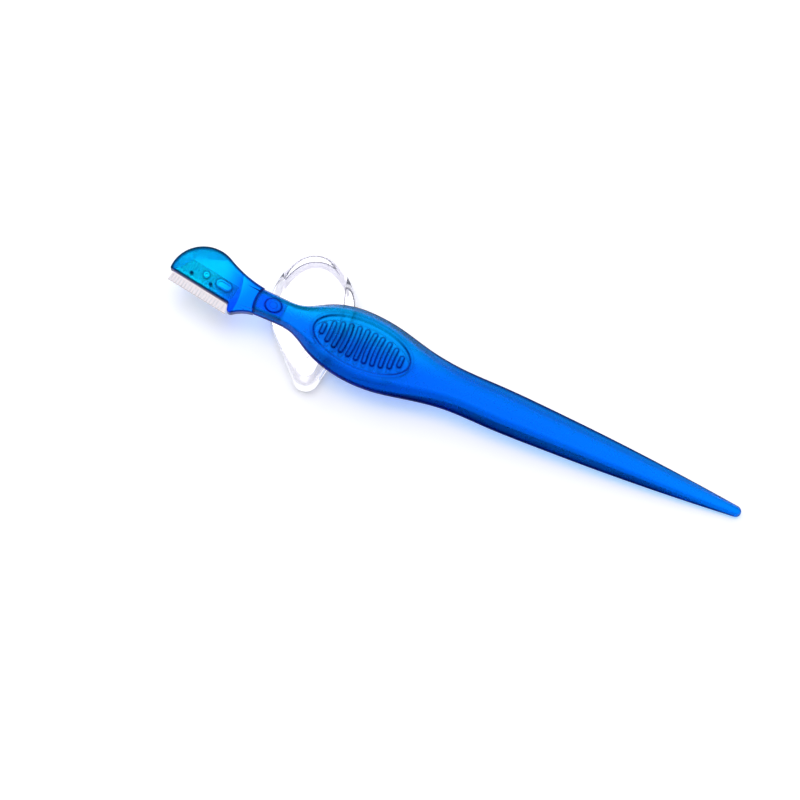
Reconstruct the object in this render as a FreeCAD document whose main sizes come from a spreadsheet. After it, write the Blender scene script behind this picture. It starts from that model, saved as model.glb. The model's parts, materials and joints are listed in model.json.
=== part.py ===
import FreeCAD, Part
import math
import os
import re

import Sketcher

# An eyebrow razor that rests across its clear slip-on cap.
# The razor is modelled flat: X runs from the tip of the head to the tail, Y across it
# towards the rounded back of the head, and Z through its thickness, with Z = 0 at mid plane.
# It is then tilted to lie on the cap, and the whole is moved so that the origin is on the
# table, under the middle of the assembly. All sizes are in millimetres.

os.makedirs("parts", exist_ok=True)
doc = FreeCAD.newDocument("eyebrow_razor")

SIZES = {
    # whole razor
    "overall_length": 150.0,
    # handle: where each cross-section stands, its half width, half thickness, facet half width,
    # and how far its middle is off the axis
    "mouth_at": 22.2, "mouth_wide": 3.42, "mouth_thick": 2.1, "mouth_facet": 2.6, "mouth_off": 0.0,
    "waist_at": 29.0, "waist_wide": 3.3, "waist_thick": 2.15, "waist_facet": 2.4, "waist_off": 0.0,
    "flare_at": 33.5, "flare_wide": 3.7, "flare_thick": 2.4, "flare_facet": 2.8, "flare_off": -0.1,
    "front_at": 39.0, "front_wide": 6.6, "front_thick": 2.85, "front_facet": 4.7, "front_off": -0.05,
    "shoulder_at": 44.5, "shoulder_wide": 8.6, "shoulder_thick": 3.0, "shoulder_facet": 6.4,
    "shoulder_off": -0.05,
    "belly_at": 51.5, "belly_wide": 9.3, "belly_thick": 3.0, "belly_facet": 7.0, "belly_off": -0.3,
    "back_at": 58.0, "back_wide": 8.72, "back_thick": 3.0, "back_facet": 6.2, "back_off": -0.5,
    "taper_at": 65.5, "taper_wide": 7.07, "taper_thick": 2.8, "taper_facet": 4.3, "taper_off": -0.6,
    "shaft_at": 75.0, "shaft_wide": 5.65, "shaft_thick": 2.45, "shaft_facet": 2.5, "shaft_off": -0.43,
    "tip_wide": 1.42, "tip_thick": 1.2, "tip_facet": 0.7, "tip_round": 1.4,
    "taper_power": 1.9, "edge_share": 0.16,
    # pressed-in grip oval on both faces, with ribs standing in it
    "grip_at": 50.65, "grip_y": -0.3, "grip_long": 25.4, "grip_wide": 12.2, "grip_deep": 0.55,
    "rib_count": 11, "rib_pitch": 2.04, "rib_wide": 0.95, "rib_tall": 0.5,
    "rib_field_long": 21.9, "rib_field_wide": 8.45,
    # raised oval on the neck
    "boss_at": 27.2, "boss_long": 4.4, "boss_wide": 3.7, "boss_tall": 0.22,
    # seam between head and handle, and the tang that crosses it
    "seam_at": 22.7, "seam_radius": 9.0, "seam_gap": 0.05, "seam_half": 4.42, "seam_run": 8.0,
    "tang_long": 7.4, "tang_wide": 3.6, "tang_thick": 2.2, "tang_root": 1.5, "tang_fit": 0.04,
    # head plate
    "head_thick": 2.6, "head_round": 0.5,
    "dome_x": 8.95, "dome_y": -0.74, "dome_radius": 8.6,
    "back_radius": 30.0, "neck_run": 24.0,
    "edge_start_y": -1.3, "notch_x": 16.75, "notch_y": -3.68,
    "hook_x": 17.55, "hook_y": -6.65, "hook_radius": 9.0, "notch_round": 0.8, "hook_round": 1.0,
    "tip_corner": 0.4,
    "neck_start": 18.9, "neck_start_wide": 3.9, "neck_narrow": 0.1, "neck_bevel": 0.85,
    # where the cover ends, and how far the regions that cut it reach around the head
    "cover_low_x": 18.2, "cover_low_y": -7.4, "cover_high_x": 16.2, "cover_high_y": 6.8,
    "cover_radius": 20.0, "cover_gap": 0.04, "around": 30.0,
    # blade, in a frame that starts at the tip corner and runs along the shaving edge
    "blade_thick": 0.2, "blade_out": 2.48, "blade_start": 1.0, "blade_long": 16.35, "heel_slant": 1.0,
    "blade_deep": 5.0, "blade_in_long": 16.6, "blade_in_start": 3.6, "bevel": 0.7, "edge_land": 0.02,
    "tuck_x": 1.5, "tuck_y": 0.9, "step_y": 1.6, "fit": 0.03,
    # comb guard, a folded foil over the shaving edge
    "foil": 0.08, "guard_out": 2.58, "guard_in": 1.3,
    "slot_pitch": 0.8, "slot_wide": 0.36, "slot_top": 0.6, "slot_count": 19, "slot_start": 1.35,
    # posts that locate the blade, and two small core holes in the cover
    "post_x": 8.4, "post_y": 3.3, "post_radius": 0.85, "post_tall": 0.85, "post_wall": 0.45,
    "key_x": 13.4, "key_y": 3.3, "key_long": 4.2, "key_wide": 2.3,
    "pip_x": 5.15, "pip_next_x": 10.55, "pip_y": 1.7, "pip_radius": 0.4, "pip_deep": 0.75,
    # clear cap
    "cap_long": 34.4, "cap_wide": 20.9, "cap_tall": 6.9, "cap_round": 1.6,
    "cap_crown": 7.6, "cap_shoulder": 16.0, "cap_nose": 3.2,
    "cap_wall": 2.8, "cap_lip": 1.0, "cap_end": 2.4, "cap_well_nose": 2.2, "cap_mouth_run": 3.0,
    "gate_at": 7.5, "gate_radius": 1.35, "gate_pip": 0.55, "gate_deep": 0.35,
    # how the razor lies on the cap
    "cap_cross_at": 36.5, "cap_cross_from_nose": 14.2, "cap_turn": 18.4, "rest_gap": 0.01, "tail_gap": 0.23,
}

# where the tail's cross-sections stand, as shares of the way from the shaft to the tip
TAIL_SHARES = [0.0, 0.14, 0.32, 0.5, 0.68, 0.85, 1.0]
# the rounded tip: how far along it, and what share of the size there
TIP_STEPS = [(0.0, 1.0), (0.5, 0.87), (0.85, 0.55), (1.0, 0.28)]
# two places closer than this are the same, in millimetres
NEAR = 0.01
# how many places to try on each side when looking for the point the razor rests on
TRIALS = 10

sheet = doc.addObject("Spreadsheet::Sheet", "Sizes")
for row, (alias, amount) in enumerate(SIZES.items(), start=1):
    sheet.set(f"A{row}", alias)
    sheet.set(f"B{row}", str(amount))
    sheet.setAlias(f"B{row}", alias)
doc.recompute()


def size(alias):
    """The number that the sheet holds under an alias."""
    return float(sheet.get(alias))


def formula(text):
    """An expression over the sheet: every alias in the text is read from it."""
    return re.sub(r"[a-z_]+", lambda word: f"Sizes.{word[0]}" if word[0] in SIZES else word[0], text)


def value(sketch, text):
    """What an expression over the sheet amounts to."""
    return float(sketch.evalExpression(formula(text)))


def point(sketch, x, y):
    """The point whose coordinates are two expressions over the sheet."""
    return FreeCAD.Vector(value(sketch, x), value(sketch, y), 0)


# ---------------------------------------------------------------- helpers for bodies and sketches

def new_body(label):
    """A body whose label is also the name of its file."""
    body = doc.addObject("PartDesign::Body", label)
    body.Label = label
    return body


def new_sketch(body, name, role, height="0", on_edge_frame=False):
    """A sketch on one of the body's own planes, lifted by height along the plane's normal."""
    sketch = body.newObject("Sketcher::SketchObject", name)
    plane = [item for item in body.Origin.OriginFeatures if item.Role == role][0]
    sketch.AttachmentSupport = [(plane, "")]
    sketch.MapMode = "FlatFace"
    if on_edge_frame:
        start, turn = edge_frame()
        rotation = FreeCAD.Rotation(FreeCAD.Vector(0, 0, 1), turn)
        sketch.AttachmentOffset = FreeCAD.Placement(start, rotation)
    sketch.setExpression("AttachmentOffset.Base.z", formula(height))
    doc.recompute()
    return sketch


def dimension(sketch, kind, place, text):
    """A sketch dimension of a kind, at a place, bound to an expression over the sheet."""
    index = sketch.addConstraint(Sketcher.Constraint(kind, *place, value(sketch, text)))
    sketch.setExpression(f"Constraints[{index}]", formula(text))


def join_ends(sketch, curves, smooth=()):
    """Add curves end to end as a closed chain; a joint is tangent where its curve is in smooth."""
    sketch.addGeometry(curves, False)
    for index in range(len(curves)):
        after = (index + 1) % len(curves)
        ends = [(sketch.getPoint(index, a).distanceToPoint(sketch.getPoint(after, b)), a, b)
                for a in (1, 2) for b in (1, 2)]
        end, start = min(ends)[1:]
        kind = "Tangent" if index in smooth else "Coincident"
        sketch.addConstraint(Sketcher.Constraint(kind, index, end, after, start))


def polygon(sketch, corners):
    """A closed polygon whose corners are pairs of expressions, each bound to the origin."""
    points = [point(sketch, x, y) for x, y in corners]
    lines = [Part.LineSegment(a, b) for a, b in zip(points, points[1:] + points[:1])]
    first = len(sketch.Geometry)
    sketch.addGeometry(lines, False)
    for index in range(len(lines)):
        after = (index + 1) % len(lines)
        sketch.addConstraint(Sketcher.Constraint("Coincident", first + index, 2, first + after, 1))
    for index, (x, y) in enumerate(corners):
        dimension(sketch, "DistanceX", (-1, 1, first + index, 1), x)
        dimension(sketch, "DistanceY", (-1, 1, first + index, 1), y)


def circle(sketch, x, y, radius):
    """A circle with its centre and radius bound."""
    shape = Part.Circle(point(sketch, x, y), FreeCAD.Vector(0, 0, 1), value(sketch, radius))
    index = sketch.addGeometry(shape, False)
    dimension(sketch, "DistanceX", (-1, 1, index, 3), x)
    dimension(sketch, "DistanceY", (-1, 1, index, 3), y)
    dimension(sketch, "Radius", (index,), radius)


def oval(sketch, x, y, long, wide):
    """An ellipse whose long axis lies along X, bound through its own axes."""
    shape = Part.Ellipse(point(sketch, x, y), value(sketch, long) / 2, value(sketch, wide) / 2)
    index = sketch.addGeometry(shape, False)
    sketch.exposeInternalGeometry(index)
    dimension(sketch, "DistanceX", (-1, 1, index, 3), x)
    dimension(sketch, "DistanceY", (-1, 1, index, 3), y)
    sketch.addConstraint(Sketcher.Constraint("Horizontal", index + 1))
    dimension(sketch, "Distance", (index + 1, 1, index + 1, 2), long)
    dimension(sketch, "Distance", (index + 2, 1, index + 2, 2), wide)


def pill(sketch, x, y, half_x, half_y):
    """A slot with round ends, longer along X or along Y, centred at x, y."""
    hx, hy = value(sketch, half_x), value(sketch, half_y)
    upright = hy > hx
    radius = min(hx, hy)
    run = abs(hy - hx)
    along = FreeCAD.Vector(0, run, 0) if upright else FreeCAD.Vector(run, 0, 0)
    across = FreeCAD.Vector(-radius, 0, 0) if upright else FreeCAD.Vector(0, radius, 0)
    centre = point(sketch, x, y)
    axis = FreeCAD.Vector(0, 0, 1)
    turn = 0.0 if upright else -math.pi / 2
    ends = [Part.ArcOfCircle(Part.Circle(centre + along, axis, radius), turn, turn + math.pi),
            Part.ArcOfCircle(Part.Circle(centre - along, axis, radius), turn + math.pi, turn + 2 * math.pi)]
    sides = [Part.LineSegment(centre + along + across, centre - along + across),
             Part.LineSegment(centre - along - across, centre + along - across)]
    first = len(sketch.Geometry)
    sketch.addGeometry([ends[0], sides[0], ends[1], sides[1]], False)
    joints = [(0, 2, 1, 1), (1, 2, 2, 1), (2, 2, 3, 1), (3, 2, 0, 1)]
    for geo, end, after, start in joints:
        place = (first + geo, end, first + after, start)
        sketch.addConstraint(Sketcher.Constraint("Tangent", *place))
    sketch.addConstraint(Sketcher.Constraint("Vertical" if upright else "Horizontal", first + 1))
    near, far = (half_x, half_y) if upright else (half_y, half_x)
    dimension(sketch, "Radius", (first,), near)
    kind, other = ("DistanceY", "DistanceX") if upright else ("DistanceX", "DistanceY")
    middle, side = (y, x) if upright else (x, y)
    dimension(sketch, other, (-1, 1, first, 3), side)
    dimension(sketch, kind, (-1, 1, first, 3), f"{middle} + ( {far} ) - ( {near} )")
    dimension(sketch, kind, (-1, 1, first + 2, 3), f"{middle} - ( {far} ) + ( {near} )")


def pad(body, sketch, length, reverse=False, both=False):
    """Raise a sketch into the body by a bound length."""
    feature = body.newObject("PartDesign::Pad", f"{sketch.Name}_pad")
    feature.Profile = sketch
    feature.setExpression("Length", formula(length))
    feature.Reversed = reverse
    feature.Midplane = both
    doc.recompute()
    return feature


def pocket(body, sketch, length=None, reverse=False, both=False):
    """Cut a sketch out of the body, by a bound length or right through; it has to cut something."""
    before = body.Shape.Volume
    feature = body.newObject("PartDesign::Pocket", f"{sketch.Name}_pocket")
    feature.Profile = sketch
    if length is None:
        feature.Type = "ThroughAll"
    else:
        feature.setExpression("Length", formula(length))
    feature.Reversed = reverse
    feature.Midplane = both
    doc.recompute()
    if not feature.Shape.Volume < before:
        raise RuntimeError(f"{feature.Name} cuts nothing")
    return feature


def round_edges(body, base, wanted, radius, name):
    """Fillet the edges of the base feature that the wanted test picks."""
    names = [f"Edge{index}" for index, edge in enumerate(base.Shape.Edges, start=1) if wanted(edge)]
    feature = body.newObject("PartDesign::Fillet", name)
    feature.Base = (base, names)
    feature.setExpression("Radius", formula(radius))
    doc.recompute()
    return feature


def stands_at(edge, x, y):
    """True for an edge that runs along Z at the point x, y."""
    box = edge.BoundBox
    return math.hypot(box.XMin - x, box.YMin - y) < NEAR and math.hypot(box.XLength, box.YLength) < NEAR


def lies_at(edge, height):
    """True for an edge that lies flat at a height."""
    return abs(edge.BoundBox.ZMin - height) < NEAR and edge.BoundBox.ZLength < NEAR


# ---------------------------------------------------------------- shared outlines

def edge_frame():
    """Where the shaving edge leaves the tip corner, and its angle to the handle in degrees."""
    drop = size("edge_start_y") - size("dome_y")
    start_x = size("dome_x") - math.sqrt(size("dome_radius") ** 2 - drop ** 2)
    turn = math.degrees(math.atan2(size("notch_y") - size("edge_start_y"), size("notch_x") - start_x))
    return FreeCAD.Vector(start_x, size("edge_start_y"), 0), turn


def arc_between(centre, radius, start, end):
    """The arc of a circle that runs counter-clockwise from the point start to the point end."""
    angles = [math.atan2(point.y - centre.y, point.x - centre.x) for point in (start, end)]
    if angles[1] < angles[0]:
        angles[1] += 2 * math.pi
    return Part.ArcOfCircle(Part.Circle(centre, FreeCAD.Vector(0, 0, 1), radius), *angles)


def centre_left(start, end, radius):
    """Centre of the arc of a radius from start to end that has its centre on the left hand."""
    chord = end - start
    middle = (start + end) * 0.5
    reach = math.sqrt(radius ** 2 - (chord.Length / 2) ** 2)
    normal = FreeCAD.Vector(-chord.y, chord.x, 0).normalize()
    return middle + normal * reach


def head_outline(sketch):
    """Half-moon head with the shaving edge, the hooked notch and the neck, seen from above."""
    start = edge_frame()[0]
    dome = FreeCAD.Vector(size("dome_x"), size("dome_y"), 0)
    neck_top = FreeCAD.Vector(size("neck_run"), size("mouth_wide"), 0)
    neck_low = FreeCAD.Vector(size("neck_run"), -size("mouth_wide"), 0)
    notch = FreeCAD.Vector(size("notch_x"), size("notch_y"), 0)
    hook = FreeCAD.Vector(size("hook_x"), size("hook_y"), 0)
    # the hollow back curve touches the dome circle and ends at the neck
    reach = size("back_radius") + size("dome_radius")
    apart = (neck_top - dome).Length
    lean = math.acos((reach ** 2 + apart ** 2 - size("back_radius") ** 2) / (2 * reach * apart))
    toward = math.atan2(neck_top.y - dome.y, neck_top.x - dome.x) + lean
    hollow = dome + FreeCAD.Vector(math.cos(toward), math.sin(toward), 0) * reach
    touch = dome + FreeCAD.Vector(math.cos(toward), math.sin(toward), 0) * size("dome_radius")
    under = centre_left(neck_low, hook, size("hook_radius"))
    join_ends(sketch, [
        arc_between(hollow, size("back_radius"), touch, neck_top),
        arc_between(dome, size("dome_radius"), touch, start),
        Part.LineSegment(start, notch),
        Part.LineSegment(notch, hook),
        arc_between(under, size("hook_radius"), neck_low, hook),
        Part.LineSegment(neck_low, neck_top),
    ], smooth=(0,))
    dimension(sketch, "Radius", (0,), "back_radius")
    dimension(sketch, "Radius", (1,), "dome_radius")
    dimension(sketch, "DistanceX", (-1, 1, 1, 3), "dome_x")
    dimension(sketch, "DistanceY", (-1, 1, 1, 3), "dome_y")
    dimension(sketch, "DistanceY", (-1, 1, 2, 1), "edge_start_y")
    dimension(sketch, "DistanceX", (-1, 1, 2, 2), "notch_x")
    dimension(sketch, "DistanceY", (-1, 1, 2, 2), "notch_y")
    dimension(sketch, "DistanceX", (-1, 1, 3, 2), "hook_x")
    dimension(sketch, "DistanceY", (-1, 1, 3, 2), "hook_y")
    dimension(sketch, "Radius", (4,), "hook_radius")
    sketch.addConstraint(Sketcher.Constraint("Vertical", 5))
    dimension(sketch, "DistanceX", (-1, 1, 5, 1), "neck_run")
    dimension(sketch, "DistanceY", (-1, 1, 5, 1), "- mouth_wide")
    dimension(sketch, "DistanceY", (-1, 1, 5, 2), "mouth_wide")


def head_plate(body):
    """The rounded plate that both halves of the head are cut from."""
    sketch = new_sketch(body, f"{body.Name}_outline", "XY_Plane")
    head_outline(sketch)
    plate = pad(body, sketch, "head_thick", both=True)
    start = edge_frame()[0]
    corners = [("tip", start.x, start.y, "tip_corner"),
               ("notch", size("notch_x"), size("notch_y"), "notch_round"),
               ("hook", size("hook_x"), size("hook_y"), "hook_round")]
    for name, x, y, radius in corners:
        plate = round_edges(body, plate, lambda edge: stands_at(edge, x, y), radius,
                            f"{body.Name}_{name}_corner")
    face = size("head_thick") / 2
    neck = size("neck_run")
    plate = round_edges(
        body, plate,
        lambda edge: (lies_at(edge, face) or lies_at(edge, -face)) and edge.BoundBox.XMin < neck - NEAR,
        "head_round", f"{body.Name}_rim")
    return plate


def cover_region(sketch, gap, front):
    """The part of the plan that the cover takes (front) or leaves (not front), split by an arc."""
    far = "- around" if front else "around"
    low, high = f"cover_low_x - {gap}", f"cover_high_x - {gap}"
    corners = [(low, "cover_low_y"), (high, "cover_high_y"), (high, "around"), (far, "around"),
               (far, "- around"), (low, "- around")]
    points = [point(sketch, x, y) for x, y in corners]
    centre = centre_left(points[0], points[1], size("cover_radius"))
    lines = [Part.LineSegment(a, b) for a, b in zip(points[1:], points[2:] + points[:1])]
    join_ends(sketch, [arc_between(centre, size("cover_radius"), points[0], points[1])] + lines)
    dimension(sketch, "Radius", (0,), "cover_radius")
    for index, (x, y) in enumerate(corners):
        dimension(sketch, "DistanceX", (-1, 1, index, 1), x)
        dimension(sketch, "DistanceY", (-1, 1, index, 1), y)


def blade_outline(sketch, slack):
    """Outline of the blade in the edge frame, grown by slack: the strip and its wider root."""
    grown = f"( {slack} )"
    polygon(sketch, [
        (f"blade_start - {grown}", f"- blade_out - {grown}"),
        (f"blade_long + heel_slant + {grown}", f"- blade_out - {grown}"),
        (f"blade_long + {grown}", "0"),
        (f"blade_long + {grown}", f"step_y - {grown}"),
        (f"blade_in_long + {grown}", f"step_y - {grown}"),
        (f"blade_in_long + {grown}", f"blade_deep + {grown}"),
        (f"blade_in_start - {grown}", f"blade_deep + {grown}"),
        (f"tuck_x - {grown}", f"tuck_y + {grown}"),
        (f"blade_start - {grown}", "- fit"),
    ])


def seat_blade(body, upper):
    """Press the beds of the blade and of the folded foil into one half of the head."""
    bed = new_sketch(body, f"{body.Name}_bed", "XY_Plane", "0", on_edge_frame=True)
    blade_outline(bed, "fit")
    pocket(body, bed, "blade_thick / 2 + fit / 2", reverse=upper)
    lip = new_sketch(body, f"{body.Name}_foil_bed", "XY_Plane", "0", on_edge_frame=True)
    polygon(lip, [
        ("blade_start - fit * 2", "- guard_out - fit"),
        ("blade_long + heel_slant + fit * 3", "- guard_out - fit"),
        ("blade_long + fit * 2", "0"),
        ("blade_long + fit * 2", "guard_in + fit"),
        ("tuck_x", "guard_in + fit"),
        ("blade_start - fit * 2", "fit * 3"),
    ])
    pocket(body, lip, "blade_thick / 2 + foil + fit * 2", reverse=upper)


def seam_region(sketch, radius, toward_tail):
    """Everything on one side of the curved seam, which bulges towards the head."""
    centre = point(sketch, "seam_at + seam_radius", "0")
    reach, half = value(sketch, radius), size("seam_half")
    top = FreeCAD.Vector(centre.x - math.sqrt(reach ** 2 - half ** 2), half, 0)
    low = FreeCAD.Vector(top.x, -half, 0)
    far = f"seam_at {'+' if toward_tail else '-'} seam_run"
    corners = [low, point(sketch, far, "- seam_half"), point(sketch, far, "seam_half"), top]
    lines = [Part.LineSegment(a, b) for a, b in zip(corners, corners[1:])]
    join_ends(sketch, [arc_between(centre, reach, top, low)] + lines)
    dimension(sketch, "Radius", (0,), radius)
    dimension(sketch, "DistanceX", (-1, 1, 0, 3), "seam_at + seam_radius")
    sketch.addConstraint(Sketcher.Constraint("PointOnObject", 0, 3, -1))
    dimension(sketch, "DistanceY", (-1, 1, 0, 1), "seam_half")
    dimension(sketch, "DistanceY", (-1, 1, 0, 2), "- seam_half")
    for index, y in ((2, "- seam_half"), (3, "seam_half")):
        dimension(sketch, "DistanceX", (-1, 1, index, 1), far)
        dimension(sketch, "DistanceY", (-1, 1, index, 1), y)


# ---------------------------------------------------------------- handle

def section(body, name, at, wide, thick, facet, off="0"):
    """An eight-sided cross-section: a flat facet above and below, bevels and a narrow side."""
    sketch = new_sketch(body, name, "YZ_Plane", at)
    sketch.setExpression("AttachmentOffset.Base.x", formula(off))
    half_wide, half_thick, half_facet = (value(sketch, text) for text in (wide, thick, facet))
    edge = half_thick * size("edge_share")
    corners = [(half_facet, half_thick), (half_wide, edge), (half_wide, -edge),
               (half_facet, -half_thick), (-half_facet, -half_thick), (-half_wide, -edge),
               (-half_wide, edge), (-half_facet, half_thick)]
    points = [FreeCAD.Vector(y, z, 0) for y, z in corners]
    sketch.addGeometry([Part.LineSegment(a, b) for a, b in zip(points, points[1:] + points[:1])], False)
    for index in range(len(points)):
        after = (index + 1) % len(points)
        sketch.addConstraint(Sketcher.Constraint("Coincident", index, 2, after, 1))
    mirrored = [(6, 2, 7, 2, -2), (4, 1, 3, 1, -2), (0, 1, 3, 1, -1),
                (1, 1, 1, 2, -1), (5, 1, 5, 2, -1), (1, 1, 6, 1, -2)]
    for place in mirrored:
        sketch.addConstraint(Sketcher.Constraint("Symmetric", *place))
    dimension(sketch, "DistanceX", (7, 1, 7, 2), f"2 * ( {facet} )")
    dimension(sketch, "DistanceY", (1, 2, 1, 1), f"2 * edge_share * ( {thick} )")
    dimension(sketch, "DistanceX", (6, 1, 1, 1), f"2 * ( {wide} )")
    dimension(sketch, "DistanceY", (3, 1, 0, 1), f"2 * ( {thick} )")
    return sketch


def loft(body, name, sections):
    """A smooth skin through cross-sections."""
    feature = body.newObject("PartDesign::AdditiveLoft", name)
    feature.Profile = sections[0]
    feature.Sections = sections[1:]
    feature.Ruled = False
    doc.recompute()
    return feature


def tail_section(body, name, share):
    """A cross-section of the long tail; share runs from 0 at the shaft to 1 at the tip."""
    curved = f"( {share} ^ taper_power )"
    at = f"shaft_at + {share} * ( overall_length - tip_round - shaft_at )"
    return section(body, name, at, f"shaft_wide - ( shaft_wide - tip_wide ) * {curved}",
                   f"shaft_thick - ( shaft_thick - tip_thick ) * {share}",
                   f"shaft_facet - ( shaft_facet - tip_facet ) * {share}",
                   f"shaft_off * ( 1 - {share} )")


def grip_relief(body, name, upper):
    """One face of the grip: a sunk oval, and ribs whose lengths follow a smaller oval."""
    sign = "" if upper else "-"
    top = new_sketch(body, f"{name}_oval", "XY_Plane", f"{sign} ( belly_thick + grip_deep )")
    oval(top, "grip_at", "grip_y", "grip_long", "grip_wide")
    pocket(body, top, "grip_deep * 2", reverse=not upper)
    ribs = new_sketch(body, f"{name}_ribs", "XY_Plane", f"{sign} ( belly_thick - grip_deep * 2 )")
    count = int(size("rib_count"))
    for index in range(count):
        offset = f"( {index - (count - 1) / 2} * rib_pitch )"
        long = f"rib_field_wide / 2 * sqrt(1 - ( 2 * {offset} / rib_field_long ) ^ 2)"
        pill(ribs, f"grip_at + {offset}", "grip_y", "rib_wide / 2", long)
    pad(body, ribs, "grip_deep + rib_tall", reverse=not upper)


def handle_piece():
    """Long handle: neck, flat oval grip and tapering tail, with a socket for the head's tang."""
    body = new_body("handle")
    names = ["mouth", "waist", "flare", "front", "shoulder", "belly", "back", "taper"]
    sections = [section(body, f"handle_{word}", f"{word}_at", f"{word}_wide", f"{word}_thick",
                        f"{word}_facet", f"{word}_off") for word in names]
    sections += [tail_section(body, f"handle_tail_{index}", share)
                 for index, share in enumerate(TAIL_SHARES)]
    loft(body, "handle_skin", sections)
    end = "overall_length - tip_round"
    rounding = [section(body, f"handle_tip_{index}", f"{end} + {along} * tip_round",
                        f"tip_wide * {share}", f"tip_thick * {share}", f"tip_facet * {share}")
                for index, (along, share) in enumerate(TIP_STEPS)]
    loft(body, "handle_tip", rounding)
    cut = new_sketch(body, "handle_seam", "XY_Plane")
    seam_region(cut, "seam_radius", toward_tail=False)
    pocket(body, cut, "mouth_thick * 4", both=True)
    socket = new_sketch(body, "handle_socket", "YZ_Plane", "seam_at + tang_long + seam_gap")
    half_wide = "( tang_wide / 2 + tang_fit )"
    half_thick = "( tang_thick / 2 + tang_fit )"
    polygon(socket, [(f"- {half_wide}", f"- {half_thick}"), (half_wide, f"- {half_thick}"),
                     (half_wide, half_thick), (f"- {half_wide}", half_thick)])
    pocket(body, socket, "tang_long + seam_gap * 2")
    grip_relief(body, "upper_grip", True)
    grip_relief(body, "lower_grip", False)
    boss = new_sketch(body, "neck_boss", "XY_Plane", "waist_thick - boss_tall")
    oval(boss, "boss_at", "0", "boss_long", "boss_wide")
    pad(body, boss, "boss_tall * 2")
    return body


# ---------------------------------------------------------------- head

def blade_holder_piece():
    """Lower half of the head with the neck, the tang and the hollow posts that locate the blade."""
    body = new_body("blade_holder")
    head_plate(body)
    neck = [section(body, "neck_start", "neck_start", "neck_start_wide", "head_thick / 2",
                    "neck_start_wide - neck_bevel"),
            section(body, "neck_middle", "( neck_start + neck_run ) / 2",
                    "( neck_start_wide + mouth_wide ) / 2 - neck_narrow",
                    "( head_thick / 2 + mouth_thick ) / 2",
                    "( neck_start_wide + mouth_wide ) / 2 - neck_bevel"),
            section(body, "neck_end", "neck_run", "mouth_wide", "mouth_thick", "mouth_facet")]
    loft(body, "neck_skin", neck)
    cut = new_sketch(body, "holder_seam", "XY_Plane")
    seam_region(cut, "seam_radius + seam_gap", toward_tail=True)
    pocket(body, cut, "mouth_thick * 4", both=True)
    room = new_sketch(body, "cover_room", "XY_Plane")
    cover_region(room, "0", front=True)
    pocket(body, room, "head_thick", reverse=True)
    seat_blade(body, upper=False)
    posts = new_sketch(body, "posts", "XY_Plane", "- head_thick / 4", on_edge_frame=True)
    circle(posts, "post_x", "post_y", "post_radius")
    pill(posts, "key_x", "key_y", "key_long / 2", "key_wide / 2")
    pad(body, posts, "post_tall + head_thick / 4")
    bores = new_sketch(body, "post_bores", "XY_Plane", "post_tall", on_edge_frame=True)
    circle(bores, "post_x", "post_y", "post_radius - post_wall")
    pill(bores, "key_x", "key_y", "key_long / 2 - post_wall", "key_wide / 2 - post_wall")
    pocket(body, bores, "post_tall")
    tang = new_sketch(body, "tang", "YZ_Plane", "seam_at - tang_root")
    polygon(tang, [("- tang_wide / 2", "- tang_thick / 2"), ("tang_wide / 2", "- tang_thick / 2"),
                   ("tang_wide / 2", "tang_thick / 2"), ("- tang_wide / 2", "tang_thick / 2")])
    pad(body, tang, "tang_root + tang_long")
    return body


def holder_cover_piece():
    """Upper half of the head, which closes over the blade and the posts."""
    body = new_body("holder_cover")
    head_plate(body)
    lower = new_sketch(body, "lower_half", "XY_Plane")
    polygon(lower, [("- around", "- around"), ("around", "- around"), ("around", "around"),
                    ("- around", "around")])
    pocket(body, lower, "head_thick")
    rear = new_sketch(body, "rear_part", "XY_Plane")
    cover_region(rear, "cover_gap", front=False)
    pocket(body, rear, "head_thick", reverse=True)
    seat_blade(body, upper=True)
    wells = new_sketch(body, "post_wells", "XY_Plane", "0", on_edge_frame=True)
    circle(wells, "post_x", "post_y", "post_radius + fit")
    pill(wells, "key_x", "key_y", "key_long / 2 + fit", "key_wide / 2 + fit")
    pocket(body, wells, "post_tall + fit", reverse=True)
    pips = new_sketch(body, "core_holes", "XY_Plane", "head_thick / 2", on_edge_frame=True)
    circle(pips, "pip_x", "pip_y", "pip_radius")
    circle(pips, "pip_next_x", "pip_y", "pip_radius")
    pocket(body, pips, "pip_deep")
    return body


def blade_piece():
    """Steel blade: a ground strip outside the head, and a root with two locating holes."""
    body = new_body("blade")
    outline = new_sketch(body, "blade_plan", "XY_Plane")
    blade_outline(outline, "0")
    pad(body, outline, "blade_thick", both=True)
    ground = new_sketch(body, "blade_bevels", "YZ_Plane")
    for side in ("", "- "):
        polygon(ground, [("- blade_out + bevel", f"{side}blade_thick / 2"),
                         ("- blade_out - fit", f"{side}blade_thick / 2"),
                         ("- blade_out - fit", f"{side}edge_land / 2")])
    pocket(body, ground, both=True)
    holes = new_sketch(body, "blade_holes", "XY_Plane")
    circle(holes, "post_x", "post_y", "post_radius + fit")
    pill(holes, "key_x", "key_y", "key_long / 2 + fit", "key_wide / 2 + fit")
    pocket(body, holes, both=True)
    return body


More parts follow.
